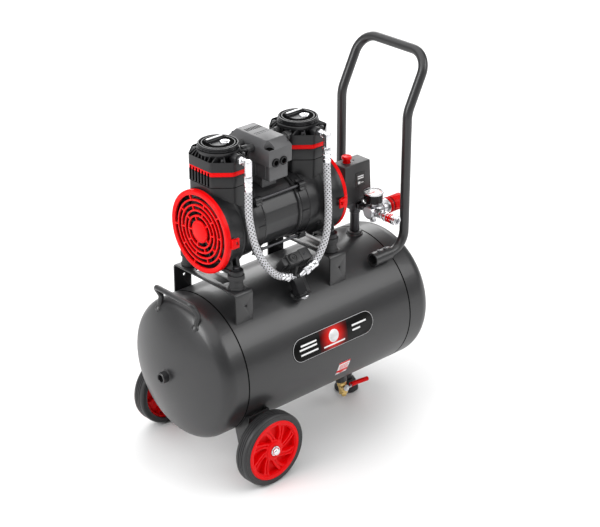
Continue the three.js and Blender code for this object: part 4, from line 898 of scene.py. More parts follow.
def make_foot():
    post = rod((FOOT_X, 0, FLOOR_Z + 10), (FOOT_X, 0, -126), 11, MIDDLE, 0.6)
    weld = lathe([(-137.5, 10), (-136.5, 12.8), (-134.5, 14.6), (-131, 14), (-129, 9)], at=(FOOT_X, 0, 0),
                 ring=True)
    piece("foot_leg", joined(post, weld), "tank_paint", stands_for=["foot_post"])
    z = FLOOR_Z
    profile = [(z, 0), (z, 22.5), (z + 1, 23.5), (z + 5, 23.5), (z + 6.5, 22.6), (z + 8.5, 20),
               (z + 15, 18.2),
               (z + 16, 18.8), (z + 18, 18.8), (z + 19, 17.6), (z + 23, 15.6), (z + 24, 14.6), (z + 24, 11.3),
               (z + 9.7, 11.3), (z + 9.7, 0)]
    piece("foot_pad", lathe(profile, at=(FOOT_X, 0, 0), steps=FINE), "rubber", stands_for=["foot_rubber"])


# ---- Drain valve -----------------------------------------------------------

def make_drain():
    start, end = 152.3, 176.3
    middle = (start + end) / 2
    body = joined(
        hexagon(drain_point(start), drain_point(start + 7), 9.4),
        rod(drain_point(start + 7), drain_point(end - 3), 8.2, MIDDLE, 0.8),
        hexagon(drain_point(end - 5), drain_point(end), 8.8),
        rod(drain_point(end - 1), drain_point(end + 2), 5.2, SMALL, 0.4),
        move(aim(lathe([(0, 2.6), (0, 4.6), (2.6, 5.2), (4.2, 4.2), (4.2, 2.6)], ring=True), drain_down),
             drain_point(end + 1)),
        rod(drain_point(middle), drain_point(middle, out=9.0), 6.0, SMALL, 0.4),
    )
    piece("drain_cock", body, "brass", stands_for=["drain_valve_body"])

    def at(along, out, drop=0.0):
        return drain_point(middle + drop, DRAIN_X + along, out)

    grip = joined(
        tube(bent_line([at(19, 4.2), at(34, 3, 1), at(63.6, 2, 4)], [60], 6), 4.5, 24),
        rod(at(62.4, 2.05, 3.9), at(64.0, 2.0, 4.0), 3.9, SMALL, 0.9),
        rod(at(18.4, 4.3), at(21, 4.0), 4.9, SMALL, 0.6),
    )
    piece("drain_lever_grip", grip, "red_plastic", "drain_lever", ["drain_lever"])
    yoke = joined(
        rod(at(0, 9.4), at(0, 12.4), 6.1, SMALL, 0.4),
        tube(bent_line([at(0, 11.7), at(11, 11.7), at(20, 4.2)], [6], 6), 1.9, 16),
        hexagon(at(0, 12.4), at(0, 14.2), 4.4, 0.4),
        rod(at(0, 3.7), at(0, 14.8), 2.4),
    )
    piece("drain_lever_yoke", yoke, "satin", "drain_lever")


# ---- Saddles and rubber mounts ---------------------------------------------

def saddle_outline():
    """The bent plate's section in the YZ plane: over the top from one flange to the other."""
    bend, sheet, low = 7.0, SADDLE_SHEET, 98.0
    span, top = SADDLE_SPAN, SADDLE_TOP
    outer = [(-span, low)] + arc((-span + bend, top - bend), bend, 180, 90, 6)
    outer += arc((span - bend, top - bend), bend, 90, 0, 6) + [(span, low)]
    inner = [(span - sheet, low)] + arc((span - bend, top - bend), bend - sheet, 0, 90, 6)
    inner += arc((-span + bend, top - bend), bend - sheet, 90, 180, 6) + [(-span + sheet, low)]
    return outer + inner


def make_saddles():
    for end, x in SADDLE_X.items():
        half = SADDLE_WIDTH / 2
        plate = slab(saddle_outline(), x - half, x + half, "x")
        tools = []
        for side in (-1, 1):
            tools.append(rod((x + 3, side * 80, 133), (x + 3, side * 90, 133), 2.8, SMALL))
            slot = slab(oblong(8, 3.6, 8), SADDLE_TOP - 8, SADDLE_TOP + 4)
            tools.append(move(slot, (x + 1, side * 37, 0)))
        plate = softened(carved(plate, *tools), 0.5, 2, 50.0)
        piece(f"saddle_plate_{end}", plate, "tank_paint", stands_for=[f"saddle_{end}"])
        for side, sign in SIDES:
            make_mount(end, side, x, sign * MOUNT_Y)


def make_mount(end, side, x, y):
    z = SADDLE_TOP + 0.3
    profile = [(z, 0), (z, 13.6), (z + 0.8, 14.4), (z + 3.2, 14.4), (z + 4.2, 12.6), (z + 17, 12.2),
               (z + 18, 14.2), (z + 19, 15), (z + 26, 15), (z + 27, 14), (z + 27, 0)]
    piece(f"rubber_foot_{end}_{side}", lathe(profile, at=(x, y, 0)), "rubber",
          stands_for=[f"rubber_mount_{end}_{side}"])
    top = SADDLE_TOP + MOUNT_HEIGHT + 9.6
    bolt = joined(lathe([(top, 0), (top, 7.5), (top + 1.2, 7.5), (top + 1.2, 0)], at=(x, y, 0)),
                  hexagon((x, y, top + 1.2), (x, y, top + 6), 6.2))
    piece(f"mount_bolt_{end}_{side}", bolt, "dark_steel")


# ---- Motor and pump --------------------------------------------------------

def at_motor(shape):
    return move(shape, (MOTOR_X, 0, MOTOR_Z))


def tie_rod_places():
    return arc((0, 0), 69.0, 45, 315, 3)


def head_outline(inset=0.0):
    """The eight-sided casting about its cylinder's axis, with HEAD_SHIFT and HEAD_Y in it."""
    half_x, half_y = HEAD_HALF[0] - inset, HEAD_HALF[1] - inset
    cut_x, cut_y = HEAD_CORNER[0] - inset * 0.5, HEAD_CORNER[1] - inset * 0.5
    x0, x1 = HEAD_SHIFT - half_x, HEAD_SHIFT + half_x
    y0, y1 = HEAD_Y - half_y, HEAD_Y + half_y
    return [(x0 + cut_x, y0), (x1 - cut_x, y0), (x1, y0 + cut_y), (x1, y1 - cut_y), (x1 - cut_x, y1),
            (x0 + cut_x, y1), (x0, y1 - cut_y), (x0, y0 + cut_y)]


def slot_blocks(rise, half_width, bottom, top):
    """A block for each upright slot in both end faces of a cylinder casting, rising past the face."""
    blocks = []
    for side in (-1, 1):
        face = HEAD_SHIFT + side * HEAD_HALF[0]
        low, high = sorted((face - side * SLOT_DEPTH, face + side * rise))
        for k in range(SLOT_COUNT):
            y = HEAD_Y + SLOT_PITCH * (k - (SLOT_COUNT - 1) / 2)
            blocks.append(block(low, high, y - half_width, y + half_width, bottom, top))
    return blocks


def cooling_slots(bottom, top):
    return slot_blocks(4.0, 2.4, bottom, top)


def slot_linings(bottom, top):
    """Near-black fills at the bottom of the slots: painted shade, so that they read as open into the casting.
    """
    return slot_blocks(-2.0, 2.6, bottom, top)


def drum_profile(inner, outer):
    """The casting round the motor's end, as (distance from the motor's middle, radius)."""
    return [
        (inner, 58), (inner, 62.6), (inner + 0.8, 63.4), (inner + 17.4, 63.8), (inner + 18.2, 65.0),
        (inner + 20, 65.4), (inner + 40, 66.0), (inner + 46, 67.2), (inner + 50, 69.6), (inner + 53, 71.8),
        (inner + 55, 72.6), (inner + 57, 72.4), (inner + 58, 71.8), (outer - 3, 72.8), (outer + 1, 75.0),
        (outer + 9.6, 76.0), (outer + 9.6, 72), (outer, 70), (outer, 60), (outer - 6, 58),
    ]


def crankcase_feet(end, sign):
    """The two feet that stand on the rubber mounts, and their webs."""
    feet = []
    base = SADDLE_TOP + MOUNT_HEIGHT + 0.6
    reach = SADDLE_X[end]
    for side in (-1, 1):
        y = side * MOUNT_Y
        low, high = sorted((side * 34, y))
        feet.append(rod((reach, y, base), (reach, y, base + 9), 13, MIDDLE, 0.8))
        feet.append(block(reach - 11, reach + 11, low, high, base, base + 9, 0.8))
        web = [(side * 30, base + 6), (side * (MOUNT_Y + 2), base + 6), (side * 58, MOTOR_Z - 18),
               (side * 40, MOTOR_Z - 18)]
        feet.append(slab(web, reach - 4 - sign * 6, reach + 4 - sign * 6, "x", 0.8))
        feet.append(slab(web, reach - 2 + sign * 8, reach + 2 + sign * 8, "x", 0.6))
    return feet


def tie_rod_lugs(near, far):
    """The finned lugs that the tie rods pass through."""
    lugs = []
    for y, z in tie_rod_places():
        star = [block(near, far, -1.4, 1.4, -11, 11, 0.5), block(near, far, -11, 6, -1.4, 1.4, 0.5)]
        star.append(lathe([(near, 0), (near, 6.6), (far, 6.6), (far, 0)], "x"))
        lugs.append(move(turn(joined(*star), math.atan2(z, y), "x"), (0, y, MOTOR_Z + z)))
    return lugs


def make_crankcase(end, sign):
    x = MOTOR_X + sign * HEAD_OFFSET
    inner, outer = BARREL_HALF + 0.3, DRUM_END

    def span(start, stop):
        return sorted((MOTOR_X + sign * (inner + start), MOTOR_X + sign * (inner + stop)))

    drum = [(sign * along, radius) for along, radius in drum_profile(inner, outer)]
    drum = at_motor(lathe(drum, "x", steps=ROUND, ring=True))
    wall_in, wall_out = sign * (outer - 10), sign * (outer - 5)
    end_wall = [(wall_in, 9.5), (wall_in, 62), (wall_out, 62), (wall_out, 9.5)]
    end_wall = at_motor(lathe(end_wall, "x", ring=True))
    neck = move(slab(head_outline(0.9), MOTOR_Z + 8, COLUMN_Z, corner=5.0, corner_steps=3), (x, 0, 0))
    hollow = rod((MOTOR_X - 160, 0, MOTOR_Z), (MOTOR_X + 160, 0, MOTOR_Z), 60, MIDDLE)
    neck = carved(neck, hollow, rod((x, 0, MOTOR_Z), (x, 0, COLUMN_Z + 2), BORE_R, MIDDLE))
    column = slab(head_outline(), COLUMN_Z, STRIP_Z[0] - 0.3, corner=4.0, corner_steps=3, edge=0.5)
    bore = rod((0, 0, COLUMN_Z - 2), (0, 0, STRIP_Z[0] + 2), BORE_R, MIDDLE)
    column = move(carved(column, bore, *cooling_slots(SLOT_FOOT_Z + 0.5, STRIP_Z[0] + 3)), (x, 0, 0))
    boss_out = Vector((0, -0.86, -0.51))
    boss_at = Vector((MOTOR_X + sign * 92, 0, MOTOR_Z)) + boss_out * 63
    boss = lathe([(0, 0), (0, 7.6), (4.2, 6.8), (5.2, 6.0), (5.2, 3.4), (1.5, 3.4), (1.5, 0)])
    boss = move(aim(boss, boss_out), boss_at)
    seam_z = MOTOR_Z + 4
    seam = block(*span(1, 17), -65.2, -63, seam_z - 0.6, seam_z + 0.6)
    shape = joined(drum, end_wall, neck, column, *crankcase_feet(end, sign), *tie_rod_lugs(*span(1, 15)),
                   boss, seam)
    piece(f"pump_casting_{end}", shape, "housing", stands_for=[f"crankcase_{end}"])


def make_head(end, sign):
    x = MOTOR_X + sign * HEAD_OFFSET
    strip = slab(head_outline(0.4), STRIP_Z[0], STRIP_Z[1], corner=4.0, corner_steps=3, edge=0.4)
    strip = carved(strip, *cooling_slots(STRIP_Z[0] - 2, STRIP_Z[0] + 6))
    piece(f"red_strip_{end}", move(strip, (x, 0, 0)), "red_plastic", stands_for=[f"valve_plate_{end}"])

    # Painted shade: near-black fills in the slots, in the joint at the column's foot and on the floor of the
    # cover's well.
    shade_fills = slot_linings(SLOT_FOOT_Z, STRIP_Z[0] + 6.2)
    seam = slab(head_outline(-0.05), COLUMN_Z - 0.6, COLUMN_Z + 0.6, corner=4.0, corner_steps=3)
    shade_fills.append(carved(seam, rod((0, 0, COLUMN_Z - 5), (0, 0, COLUMN_Z + 5), BORE_R, MIDDLE)))
    shade_fills.append(slab(head_outline(2.4), 374.8, 376.6, corner=4.0, corner_steps=3))
    piece(f"slot_linings_{end}", move(joined(*shade_fills), (x, 0, 0)), "gap")

    cover = slab(head_outline(), STRIP_Z[1] + 0.3, RIM_Z, corner=4.0, corner_steps=3)
    top = max(cover.faces, key=lambda f: f.calc_center_median().z)
    bmesh.ops.inset_region(cover, faces=[top], thickness=1.8, depth=0)
    bmesh.ops.translate(cover, verts=top.verts, vec=(0, 0, -14))
    softened(cover, 0.5, 1, 45.0, keep=lambda e: all(v.co.z > RIM_Z - 0.1 for v in e.verts))
    cone = lathe([(375, 0), (375, 30), (384, 31.5), (391, 34), (397, 38), (400.5, 38.2), (401.5, 37),
                  (401.5, 0)], at=(0, CAP_Y, 0), steps=FINE)
    ribs = []
    for k in range(8):
        y = HEAD_Y - 30.8 + 8.8 * k
        reach = math.sqrt(max(36.0 ** 2 - (y - CAP_Y) ** 2, 12.0 ** 2))
        for side in (-1, 1):
            over = max(0.0, abs(y - HEAD_Y) - (HEAD_HALF[1] - HEAD_CORNER[1]))
            edge = side * (HEAD_HALF[0] - 1.2 - over * HEAD_CORNER[0] / HEAD_CORNER[1]) + HEAD_SHIFT
            slope = [(edge, 376), (edge, RIM_Z - 0.2), (side * reach, 398), (side * (reach - 5), 398),
                     (side * (reach - 5), 376)]
            ribs.append(slab(slope, y - 1.2, y + 1.2, "y", 0.25, 1))
    for degrees in (-115, -62, 62, 90, 118):
        swing = math.radians(degrees)
        reach = rib_reach(swing)
        slope = [(30, 376), (reach, 376), (reach, RIM_Z - 0.6), (36, 396.0), (30, 396.0)]
        rib = slab(slope, -0.9, 0.9, "y", 0.25, 1)
        ribs.append(move(turn(rib, swing), (0, CAP_Y, 0)))
    places = [(HEAD_SHIFT + sx * (HEAD_HALF[0] - 21), HEAD_Y + sy * (HEAD_HALF[1] - 17))
              for sx in (-1, 1) for sy in (-1, 1)]
    bosses = [lathe([(376, 0), (376, 4.4), (389, 4.2), (389.6, 3.8), (389.6, 0)], at=(bx, by, 0), steps=SMALL)
              for bx, by in places]
    pad = rod((OUTLET_SHIFT, HEAD_FACE_Y - 0.2, OUTLET_Z), (OUTLET_SHIFT, -26, OUTLET_Z), 8.5, MIDDLE, 0.8)
    shelf = block(OUTLET_SHIFT - 9, OUTLET_SHIFT + 9, HEAD_FACE_Y + 0.1, -36, 372, OUTLET_Z, 0.8)
    inner = HEAD_SHIFT - sign * (HEAD_HALF[0] - 8)
    outer = HEAD_SHIFT - sign * (HEAD_HALF[0] - 0.2)
    lugs = [rod((inner, y, TRANSFER_Z), (outer, y, TRANSFER_Z), 9.0, MIDDLE, 0.8) for y in TRANSFER_Y]
    piece(f"head_cover_{end}", move(joined(cover, cone, *ribs, *bosses, pad, shelf, *lugs), (x, 0, 0)),
          "housing",
          stands_for=[f"cylinder_head_{end}"])
    screws = [screw_head((bx, by, 389.6), (0, 0, 1), 3.2, 2.6) for bx, by in places]
    piece(f"head_screws_{end}", move(joined(*screws), (x, 0, 0)), "dark_steel")
    make_cap(end, x)


def rib_reach(swing):
    """How far the middle of the casting's wall is from the cap's axis, in one direction."""
    direction = Vector((math.cos(swing), math.sin(swing)))
    centre = Vector((0, CAP_Y))
    outline = [Vector(point) for point in head_outline()]
    best = 80.0
    for a, b in zip(outline, outline[1:] + outline[:1]):
        side = b - a
        normal = Vector((side.y, -side.x)).normalized()
        across = normal.dot(direction)
        if across > 1e-6:
            best = min(best, (normal.dot(a - centre) - 1.5) / across)
    return best


def make_cap(end, x):
    z = CAP_Z
    profile = [
        (z - 8, 0), (z - 8, CAP_R - 1), (z - 7, CAP_R), (z - 4.6, CAP_R), (z - 4.2, CAP_R - 0.8),
        (z - 3.4, CAP_R - 0.8),
        (z - 3.0, CAP_R), (z - 1.0, CAP_R), (z, CAP_R - 1), (z, CAP_R - 2.6), (z - 1.4, CAP_R - 3.4),
        (z - 1.4, CAP_R - 5.4), (z - 0.2, CAP_R - 6.2), (z - 0.2, CAP_R - 7.8), (z - 1.4, CAP_R - 8.6),
        (z - 1.4, 17.5), (z - 0.4, 16.8), (z - 0.4, 15.6), (z - 1.4, 14.9), (z - 1.4, 0),
    ]
    disc = lathe(profile, steps=FINE)
    ridge = move(slab(arc((0, 0), 5.2, 0, 180, 12), -21, 21, "x", 0.6), (2, 13, z - 1.6))
    teeth = around(28, lambda: block(CAP_R - 0.8, CAP_R + 0.5, -1.3, 1.3, z - 7, z - 4.8, 0.2, 1))
    piece(f"filter_lid_{end}", move(joined(disc, ridge, teeth), (x, CAP_Y, 0)), "dark_plastic",
          stands_for=[f"filter_cap_{end}"])
    # Near-black, matt rings in the lid's grooves: painted shade.
    grooves = []
    for low, high in ((CAP_R - 5.6, CAP_R - 3.2), (17.4, CAP_R - 8.4)):
        section = [(z - 1.5, low), (z - 1.1, low), (z - 1.1, high), (z - 1.5, high)]
        grooves.append(lathe(section, at=(x, CAP_Y, 0), steps=FINE, ring=True))
    piece(f"filter_lid_groove_shade_{end}", joined(*grooves), "gap")
    # A pale bar along the top of the grip ridge: a painted highlight, standing for the ridge's reflection.
    gleam = slab(oblong(18, 2.4, 8), z + 3.1, z + 4.2, edge=0.3)
    piece(f"filter_lid_painted_gleam_{end}", move(gleam, (x + 2, CAP_Y + 13, 0)), "print")
    screw_x, screw_y = x + 10, CAP_Y - 6
    stud = lathe([(z - 2, 0), (z - 2, 9), (z - 0.2, 9), (z + 0.8, 8.2), (z + 1.8, 5.0), (z + 2.1, 0)],
                 at=(screw_x, screw_y, 0))
    slot = block(screw_x - 10, screw_x + 10, screw_y - 0.8, screw_y + 0.8, z + 0.9, z + 4)
    piece(f"filter_lid_screw_{end}", carved(stud, slot), "chrome")


def guard_slot(row, k):
    """One slot of the grille: part of a ring, each row half a step round from the row before."""
    hub, outer = 20.0, GUARD_R - 9.0
    pitch = (outer - hub) / GRILLE_ROWS
    inner_r = hub + pitch * row + (1.5 if row else 0.4)
    outer_r = hub + pitch * (row + 1) - (1.5 if row < GRILLE_ROWS - 1 else 0.2)
    sector = 360 / GRILLE_RIBS
    start = sector * (k + (row % 2) / 2) + 14
    trim = math.degrees(1.3 / ((inner_r + outer_r) / 2))
    outline = arc((0, 0), outer_r, start + trim, start + sector - trim, 12)
    outline += arc((0, 0), inner_r, start + sector - trim, start + trim, 12)
    return slab(outline, -8, 8)


def guard_grille():
    """The round grille, face near z = 0 and its body towards -z, with its rows of slots."""
    disc = lathe([(-3.6, 0), (-3.6, GUARD_R - 7), (0, GUARD_R - 7), (0, 0)], steps=ROUND)
    slots = [guard_slot(row, k) for row in range(GRILLE_ROWS) for k in range(GRILLE_RIBS)]
    disc = softened(carved(disc, *slots), 0.5, 2, 50.0)
    return move(disc, (0, 0, -1.2))


def make_guard(end, sign):
    face = DRUM_END + 0.7 + GUARD_DEPTH
    hub = lathe([(-3.6, 0), (-3.6, 18.6), (-1.4, 19.2), (-0.2, 18.4), (-0.6, 17.2), (-0.3, 16.4), (-0.1, 0)],
                steps=FINE)
    r = GUARD_R
    skirt = lathe([
        (-GUARD_DEPTH * 0.5, r - 2.6), (-GUARD_DEPTH * 0.5, r), (-3.5, r), (-1.2, r - 0.5), (-0.2, r - 1.9),
        (0, r - 3.5), (-1.2, r - 9.4), (-4.8, r - 9.4), (-5.2, r - 4.6), (-7, r - 3),
    ], steps=ROUND, ring=True)
    shape = aim(joined(guard_grille(), hub, skirt), (1, 0, 0))
    tabs = []
    for side in (-1, 1):
        low, high = sorted((side * (r + 0.4), side * (r + 4)))
        plate = block(-GUARD_DEPTH - 6, -GUARD_DEPTH + 10, low, high, -9, 9, 0.9)
        hole = block(-GUARD_DEPTH - 3.5, -GUARD_DEPTH + 2.5, -r - 8, r + 8, -3.2, 3.2)
        brace = slab([(-GUARD_DEPTH + 1, r - 1), (-GUARD_DEPTH + 12, r - 1), (-GUARD_DEPTH + 4, r + 3.6),
                      (-GUARD_DEPTH + 1, r + 3.6)], -9, 9, "z", 0.4)
        if side < 0:
            flipped(brace, "y")
        tabs += [carved(plate, hole), brace]
    shape = joined(shape, *tabs)
    move(shape, (face, 0, 0))
    if sign < 0:
        flipped(shape, "x")
    piece(f"fan_grille_{end}", at_motor(shape), "red_plastic", stands_for=[f"fan_guard_{end}"])


def make_fan(end, sign):
    back = DRUM_END + 2.0
    outline = [(-9.5, 14), (9.5, 14), (12.5, 40), (10, 60), (-4, 61), (-9, 40)]

    def blade():
        upright = turn(slab(outline, -0.9, 0.9, edge=0.5, segments=1), math.pi / 2, "x")
        return turn(upright, math.radians(34), "z")

    hub = lathe([(back, 6.8), (back, 16), (back + 9, 17), (back + 11, 14), (back + 12, 6.8)], "x", ring=True)
    blades = move(around(7, blade, "x"), (back + 6.2, 0, 0))
    cut_low = block(back - 20, back + 0.4, -80, 80, -80, 80)
    cut_high = block(back + 12.2, back + 30, -80, 80, -80, 80)
    shape = joined(hub, carved(blades, cut_low, cut_high))
    if sign < 0:
        flipped(shape, "x")
    piece(f"cooling_fan_{end}", at_motor(shape), "dark_plastic", "rotor", [f"fan_{end}"])


def make_motor():
    facets = 18
    barrel = bmesh.new()
    bmesh.ops.create_cone(barrel, cap_ends=False, segments=facets, radius1=BARREL_R, radius2=BARREL_R,
                          depth=2 * BARREL_HALF)
    softened(barrel, 2.2, 3, 5.0)
    bmesh.ops.recalc_face_normals(barrel, faces=barrel.faces)
    bmesh.ops.solidify(barrel, geom=list(barrel.faces), thickness=4.0)
    bmesh.ops.recalc_face_normals(barrel, faces=barrel.faces)
    aim(barrel, (1, 0, 0))
    rings = []
    for side in (-1, 1):
        x = side * BARREL_HALF
        rings.append(lathe([(x, 54), (x, 62.6), (x - side * 1.2, 63.4), (x - side * 4, 63.4),
                            (x - side * 5, 62), (x - side * 5, 54)], "x", steps=ROUND, ring=True))
    piece("motor_housing", at_motor(joined(barrel, *rings)), "barrel", stands_for=["motor_barrel"], crease=25)
    rods, nuts = [], []
    for y, z in tie_rod_places():
        rods.append(rod((-BARREL_HALF - 12, y, z), (BARREL_HALF + 12, y, z), 2.6))
        for side in (-1, 1):
            x = side * (BARREL_HALF + 12.5)
            nuts.append(hexagon((x, y, z), (x + side * 3.4, y, z), 4.0, 0.4))
    piece("tie_rods", at_motor(joined(*rods, *nuts)), "dark_steel")
    for end, sign in ENDS:
        make_crankcase(end, sign)
        make_head(end, sign)
        make_guard(end, sign)
        make_fan(end, sign)


# ---- Junction box and transfer pipes ---------------------------------------

def make_junction_box():
    base, step, bevel, top = BOX_Z
    hx, hy = BOX_HALF
    body = block(-hx, hx, -hy, hy, step, bevel, 1.2)
    roof = block(-hx, hx, -hy, hy, bevel - 0.6, top)
    upper = [v for v in roof.verts if v.co.z > top - 1]
    bmesh.ops.scale(roof, verts=upper, vec=(20.5 / hx, 40.0 / hy, 1))
    softened(roof, 0.9, 2, 15.0)
    glands_at = [rod((x, -hy - 2, GLAND_Z), (x, -hy + 9, GLAND_Z), 6.6, MIDDLE) for x in GLAND_X]
    notch = rod((-hx + 3, -hy + 3, bevel + 0.8), (-hx + 3, -hy + 3, top + 4), 12.0, MIDDLE)
    slits = [block(-15.3 + 4.4 * k, -12.7 + 4.4 * k, 14, 26, top - 4, top + 2) for k in range(8)]
    body = carved(body, *glands_at)
    roof = carved(roof, notch, *slits)
    # Painted shade: near-black fills under the lid's slits, in the lines on the lid and in the corner notch.
    low, high = top - 0.5, top + 0.12
    dark = [block(-16.6, 19.4, 14.3, 25.7, top - 3.8, top - 0.4), block(-15, 16, -1.6, -0.6, low, high)]
    dark += [block(-14 + 3.4 * k, -12.4 + 3.4 * k, -7, -5.8, low, high) for k in range(9)]
    dark.append(block(-hx + 0.8, -hx + 13, -hy + 0.8, -hy + 13, bevel + 0.2, bevel + 1.2))
    piece("terminal_box_slit_shade", move(joined(*dark), (MOTOR_X, 0, 0)), "gap")
    lower = block(-hx + 5, hx - 5, -hy + 5, hy - 5, base, step + 1, 2.2, 3)
    ribs = [block(-hx + 4, -hx + 5.5, y - 1.2, y + 1.2, base + 3, step, 0.3, 1) for y in (-38, -13, 12, 37)]
    pedestal = block(-17, 17, -24, 24, MOTOR_Z + 50, base + 1, 1.5)
    shape = move(joined(body, roof, lower, *ribs, pedestal), (MOTOR_X, 0, 0))
    piece("terminal_box", shape, "box_plastic", stands_for=["junction_box"])
    gland = [(-hy - 2.4, 5.0), (-hy - 2.4, 7.4), (-hy - 1.6, 8.2), (-hy + 0.1, 8.2), (-hy + 0.1, 6.4),
             (-hy + 8.6, 6.4), (-hy + 8.6, 5.0)]
    glands = [lathe(gland, "y", (MOTOR_X + x, 0, GLAND_Z), ring=True) for x in GLAND_X]
    piece("cable_glands", joined(*glands), "dark_plastic")
    screws = [screw_head((MOTOR_X + sx * 22.6, sy * 47, 395.6), (sx * 0.8, sy * 0.4, 1), 2.6, 1.4)
              for sx, sy in ((-1, 1), (1, -1), (1, 1))]
    piece("terminal_box_screws", joined(*screws), "dark_steel")


def make_transfer_pipes():
    head_collar = [(0, 5.0), (0, 8.2), (0.8, 9.0), (5.4, 9.0), (6.2, 8.2), (6.2, 5.0)]
    box_collar = [(0, 5), (0, 7.2), (3, 7.2), (3.6, 6.6), (3.6, 5)]
    for end, sign in ENDS:
        head_x = MOTOR_X + sign * (HEAD_OFFSET - HEAD_HALF[0]) + HEAD_SHIFT
        box_x = MOTOR_X + sign * BOX_HALF[0]
        shapes = []
        for y in TRANSFER_Y:
            at_head = aim(lathe(head_collar, ring=True), (-sign, 0, 0))
            at_box = aim(lathe(box_collar, ring=True), (sign, 0, 0))
            shapes += [
                rod((head_x - sign * 1.5, y, TRANSFER_Z), (box_x + sign * 0.3, y, TRANSFER_Z), 7.0, MIDDLE),
                move(at_head, (head_x + sign, y, TRANSFER_Z)),
                move(at_box, (box_x + sign * 0.2, y, TRANSFER_Z)),
            ]
        piece(f"crossover_pipes_{end}", joined(*shapes), "switch_plastic",
              stands_for=[f"transfer_pipe_{end}"],
              crease=40)


# ---- Air line --------------------------------------------------------------

def with_wrap_map(shape, line):
    """Adds the map that the braid follows: place along the hose, and turns round it, in strand widths."""
    travelled = [0.0]
    for a, b in zip(line, line[1:]):
        travelled.append(travelled[-1] + (b - a).length)
    pitch = 2 * math.pi * HOSE_R / BRAID_STRANDS
    places = {}
    for vert in shape.verts:
        k = min(range(len(line)), key=lambda i: (line[i] - vert.co).length_squared)
        ahead = (line[min(k + 1, len(line) - 1)] - line[max(k - 1, 0)]).normalized()
        side = ahead.cross(Vector((0.3, 1, 0.1))).normalized()
        up = ahead.cross(side)
        spoke = vert.co - line[k]
        along = travelled[k] + spoke.dot(ahead)
        places[vert] = (along / pitch, math.atan2(spoke.dot(up), spoke.dot(side)) / (2 * math.pi))
    layer = shape.loops.layers.uv.new("around")
    for face in shape.faces:
        turns = [places[loop.vert][1] for loop in face.loops]
        wraps = max(turns) - min(turns) > 0.5
        for loop, angle in zip(face.loops, turns):
            if wraps and angle < 0:
                angle += 1.0
            loop[layer].uv = (places[loop.vert][0], angle * BRAID_STRANDS)
    return shape


def make_hoses():
    for end, sign in ENDS:
        points = HOSE_POINTS[end]
        line = smooth_line(points)
        piece(f"braided_hose_{end}", with_wrap_map(tube(line, HOSE_R - 0.2, 24), line), "braid",
              stands_for=[f"hose_{end}"], crease=60)
        start, along = line[0], (line[1] - line[0]).normalized()
        x, y, _ = points[0]
        port_x = MOTOR_X + sign * HEAD_OFFSET + OUTLET_SHIFT
        crimp = lathe([
            (-2.5, 5.4), (-2.5, 7.0), (0.5, 7.6), (4, 7.6), (5, 6.8), (6.6, 6.8), (7.6, 7.8), (12, 7.8),
            (13, 6.9), (14.6, 6.9), (15.6, 7.8), (24, 7.8), (25, 7.3), (26, 7.2), (26, 6.0), (20, 5.4),
        ], ring=True)
        crimp = move(aim(crimp, -along), start)
        neck = rod((port_x, HEAD_FACE_Y - 0.5, OUTLET_Z), (x, y + 2, OUTLET_Z), 5.0, MIDDLE)
        nut = hexagon((port_x, HEAD_FACE_Y - 4.5, OUTLET_Z), (port_x, HEAD_FACE_Y - 11.5, OUTLET_Z), 7.6)
        half = 5.6
        body = block(x - half, x + half, y - half, y + half, OUTLET_Z - 27, OUTLET_Z + half, 2.2, 3)
        low, high = OUTLET_Z - 31, OUTLET_Z - 26
        lip = lathe([(low, 5), (low, 7.2), (high, 7.2), (high, 5)], at=(x, y, 0), ring=True)
        piece(f"outlet_elbow_{end}", joined(neck, nut, body, crimp, lip), "chrome",
              stands_for=[f"hose_elbow_{end}"])


def make_check_valve():
    tee, axis = Vector(CHECK_TEE), Vector(CHECK_AXIS).normalized()
    foot = tee + axis * CHECK_LENGTH
    body = joined(
        hexagon(tee - axis * 1, tee + axis * 27, 15.0, 1.4),
        rod(tee + axis * 26, tee + axis * 30, 11.2, MIDDLE, 0.6),
        hexagon(tee + axis * 29, foot, 14.6, 1.2),
        rod(tee - axis * 7, tee, 8.4, MIDDLE, 1.0),
    )
    middle = tee.lerp(foot, 0.5)
    out = Vector((0, middle.y, middle.z)).normalized()
    root = out * (TANK_R - 1)
    root.x = tee.x
    flange = aim(lathe([(0, 4), (0, 12), (3, 11), (5, 8), (5, 4)], ring=True), out)
    body = joined(body, rod(root, middle, 7.0, MIDDLE), move(flange, root))
    piece("non_return_valve", body, "housing", stands_for=["check_valve"])
    cap = joined(rod(foot - axis * 0.5, foot + axis * 2.4, 9.4, MIDDLE, 0.8),
                 hexagon(foot + axis * 2, foot + axis * 4.6, 6.4, 0.6))
    nuts = [cap]
    ferrule = [(-20, 6), (-20, 7.4), (-18, 8.2), (-12, 8.2), (-11, 7.6), (-10, 8.2), (-3, 8.2), (-2, 7.4),
               (0, 7.4), (0, 6)]
    for points in HOSE_POINTS.values():
        line = smooth_line(points)
        ahead = (line[-1] - line[-2]).normalized()
        nose = line[-1]
        nuts.append(move(aim(lathe(ferrule, ring=True), ahead), nose))
        nuts.append(hexagon(nose, nose + ahead * 8, 8.6))
        nuts.append(rod(nose + ahead * 7, tee, 5.4, SMALL))
    piece("hose_end_nuts", joined(*nuts), "chrome")


def coil_corner(across, deep):
    """A point of the unloader's leaning section: along its upper face, and down its outer face."""
    y = COIL_EDGE[0] + math.cos(COIL_TILT) * across + math.sin(COIL_TILT) * deep
    z = COIL_EDGE[1] + math.sin(COIL_TILT) * across - math.cos(COIL_TILT) * deep
    return (y, z)


def coil_block(x0, x1, margin, edge):
    upper, lower = COIL_SIZE
    section = [coil_corner(margin, margin), coil_corner(margin, lower - margin),
               coil_corner(upper - margin, lower - margin), coil_corner(upper - margin, margin)]
    return slab(section, x0, x1, "x", edge, 3, corner=edge * 1.5)


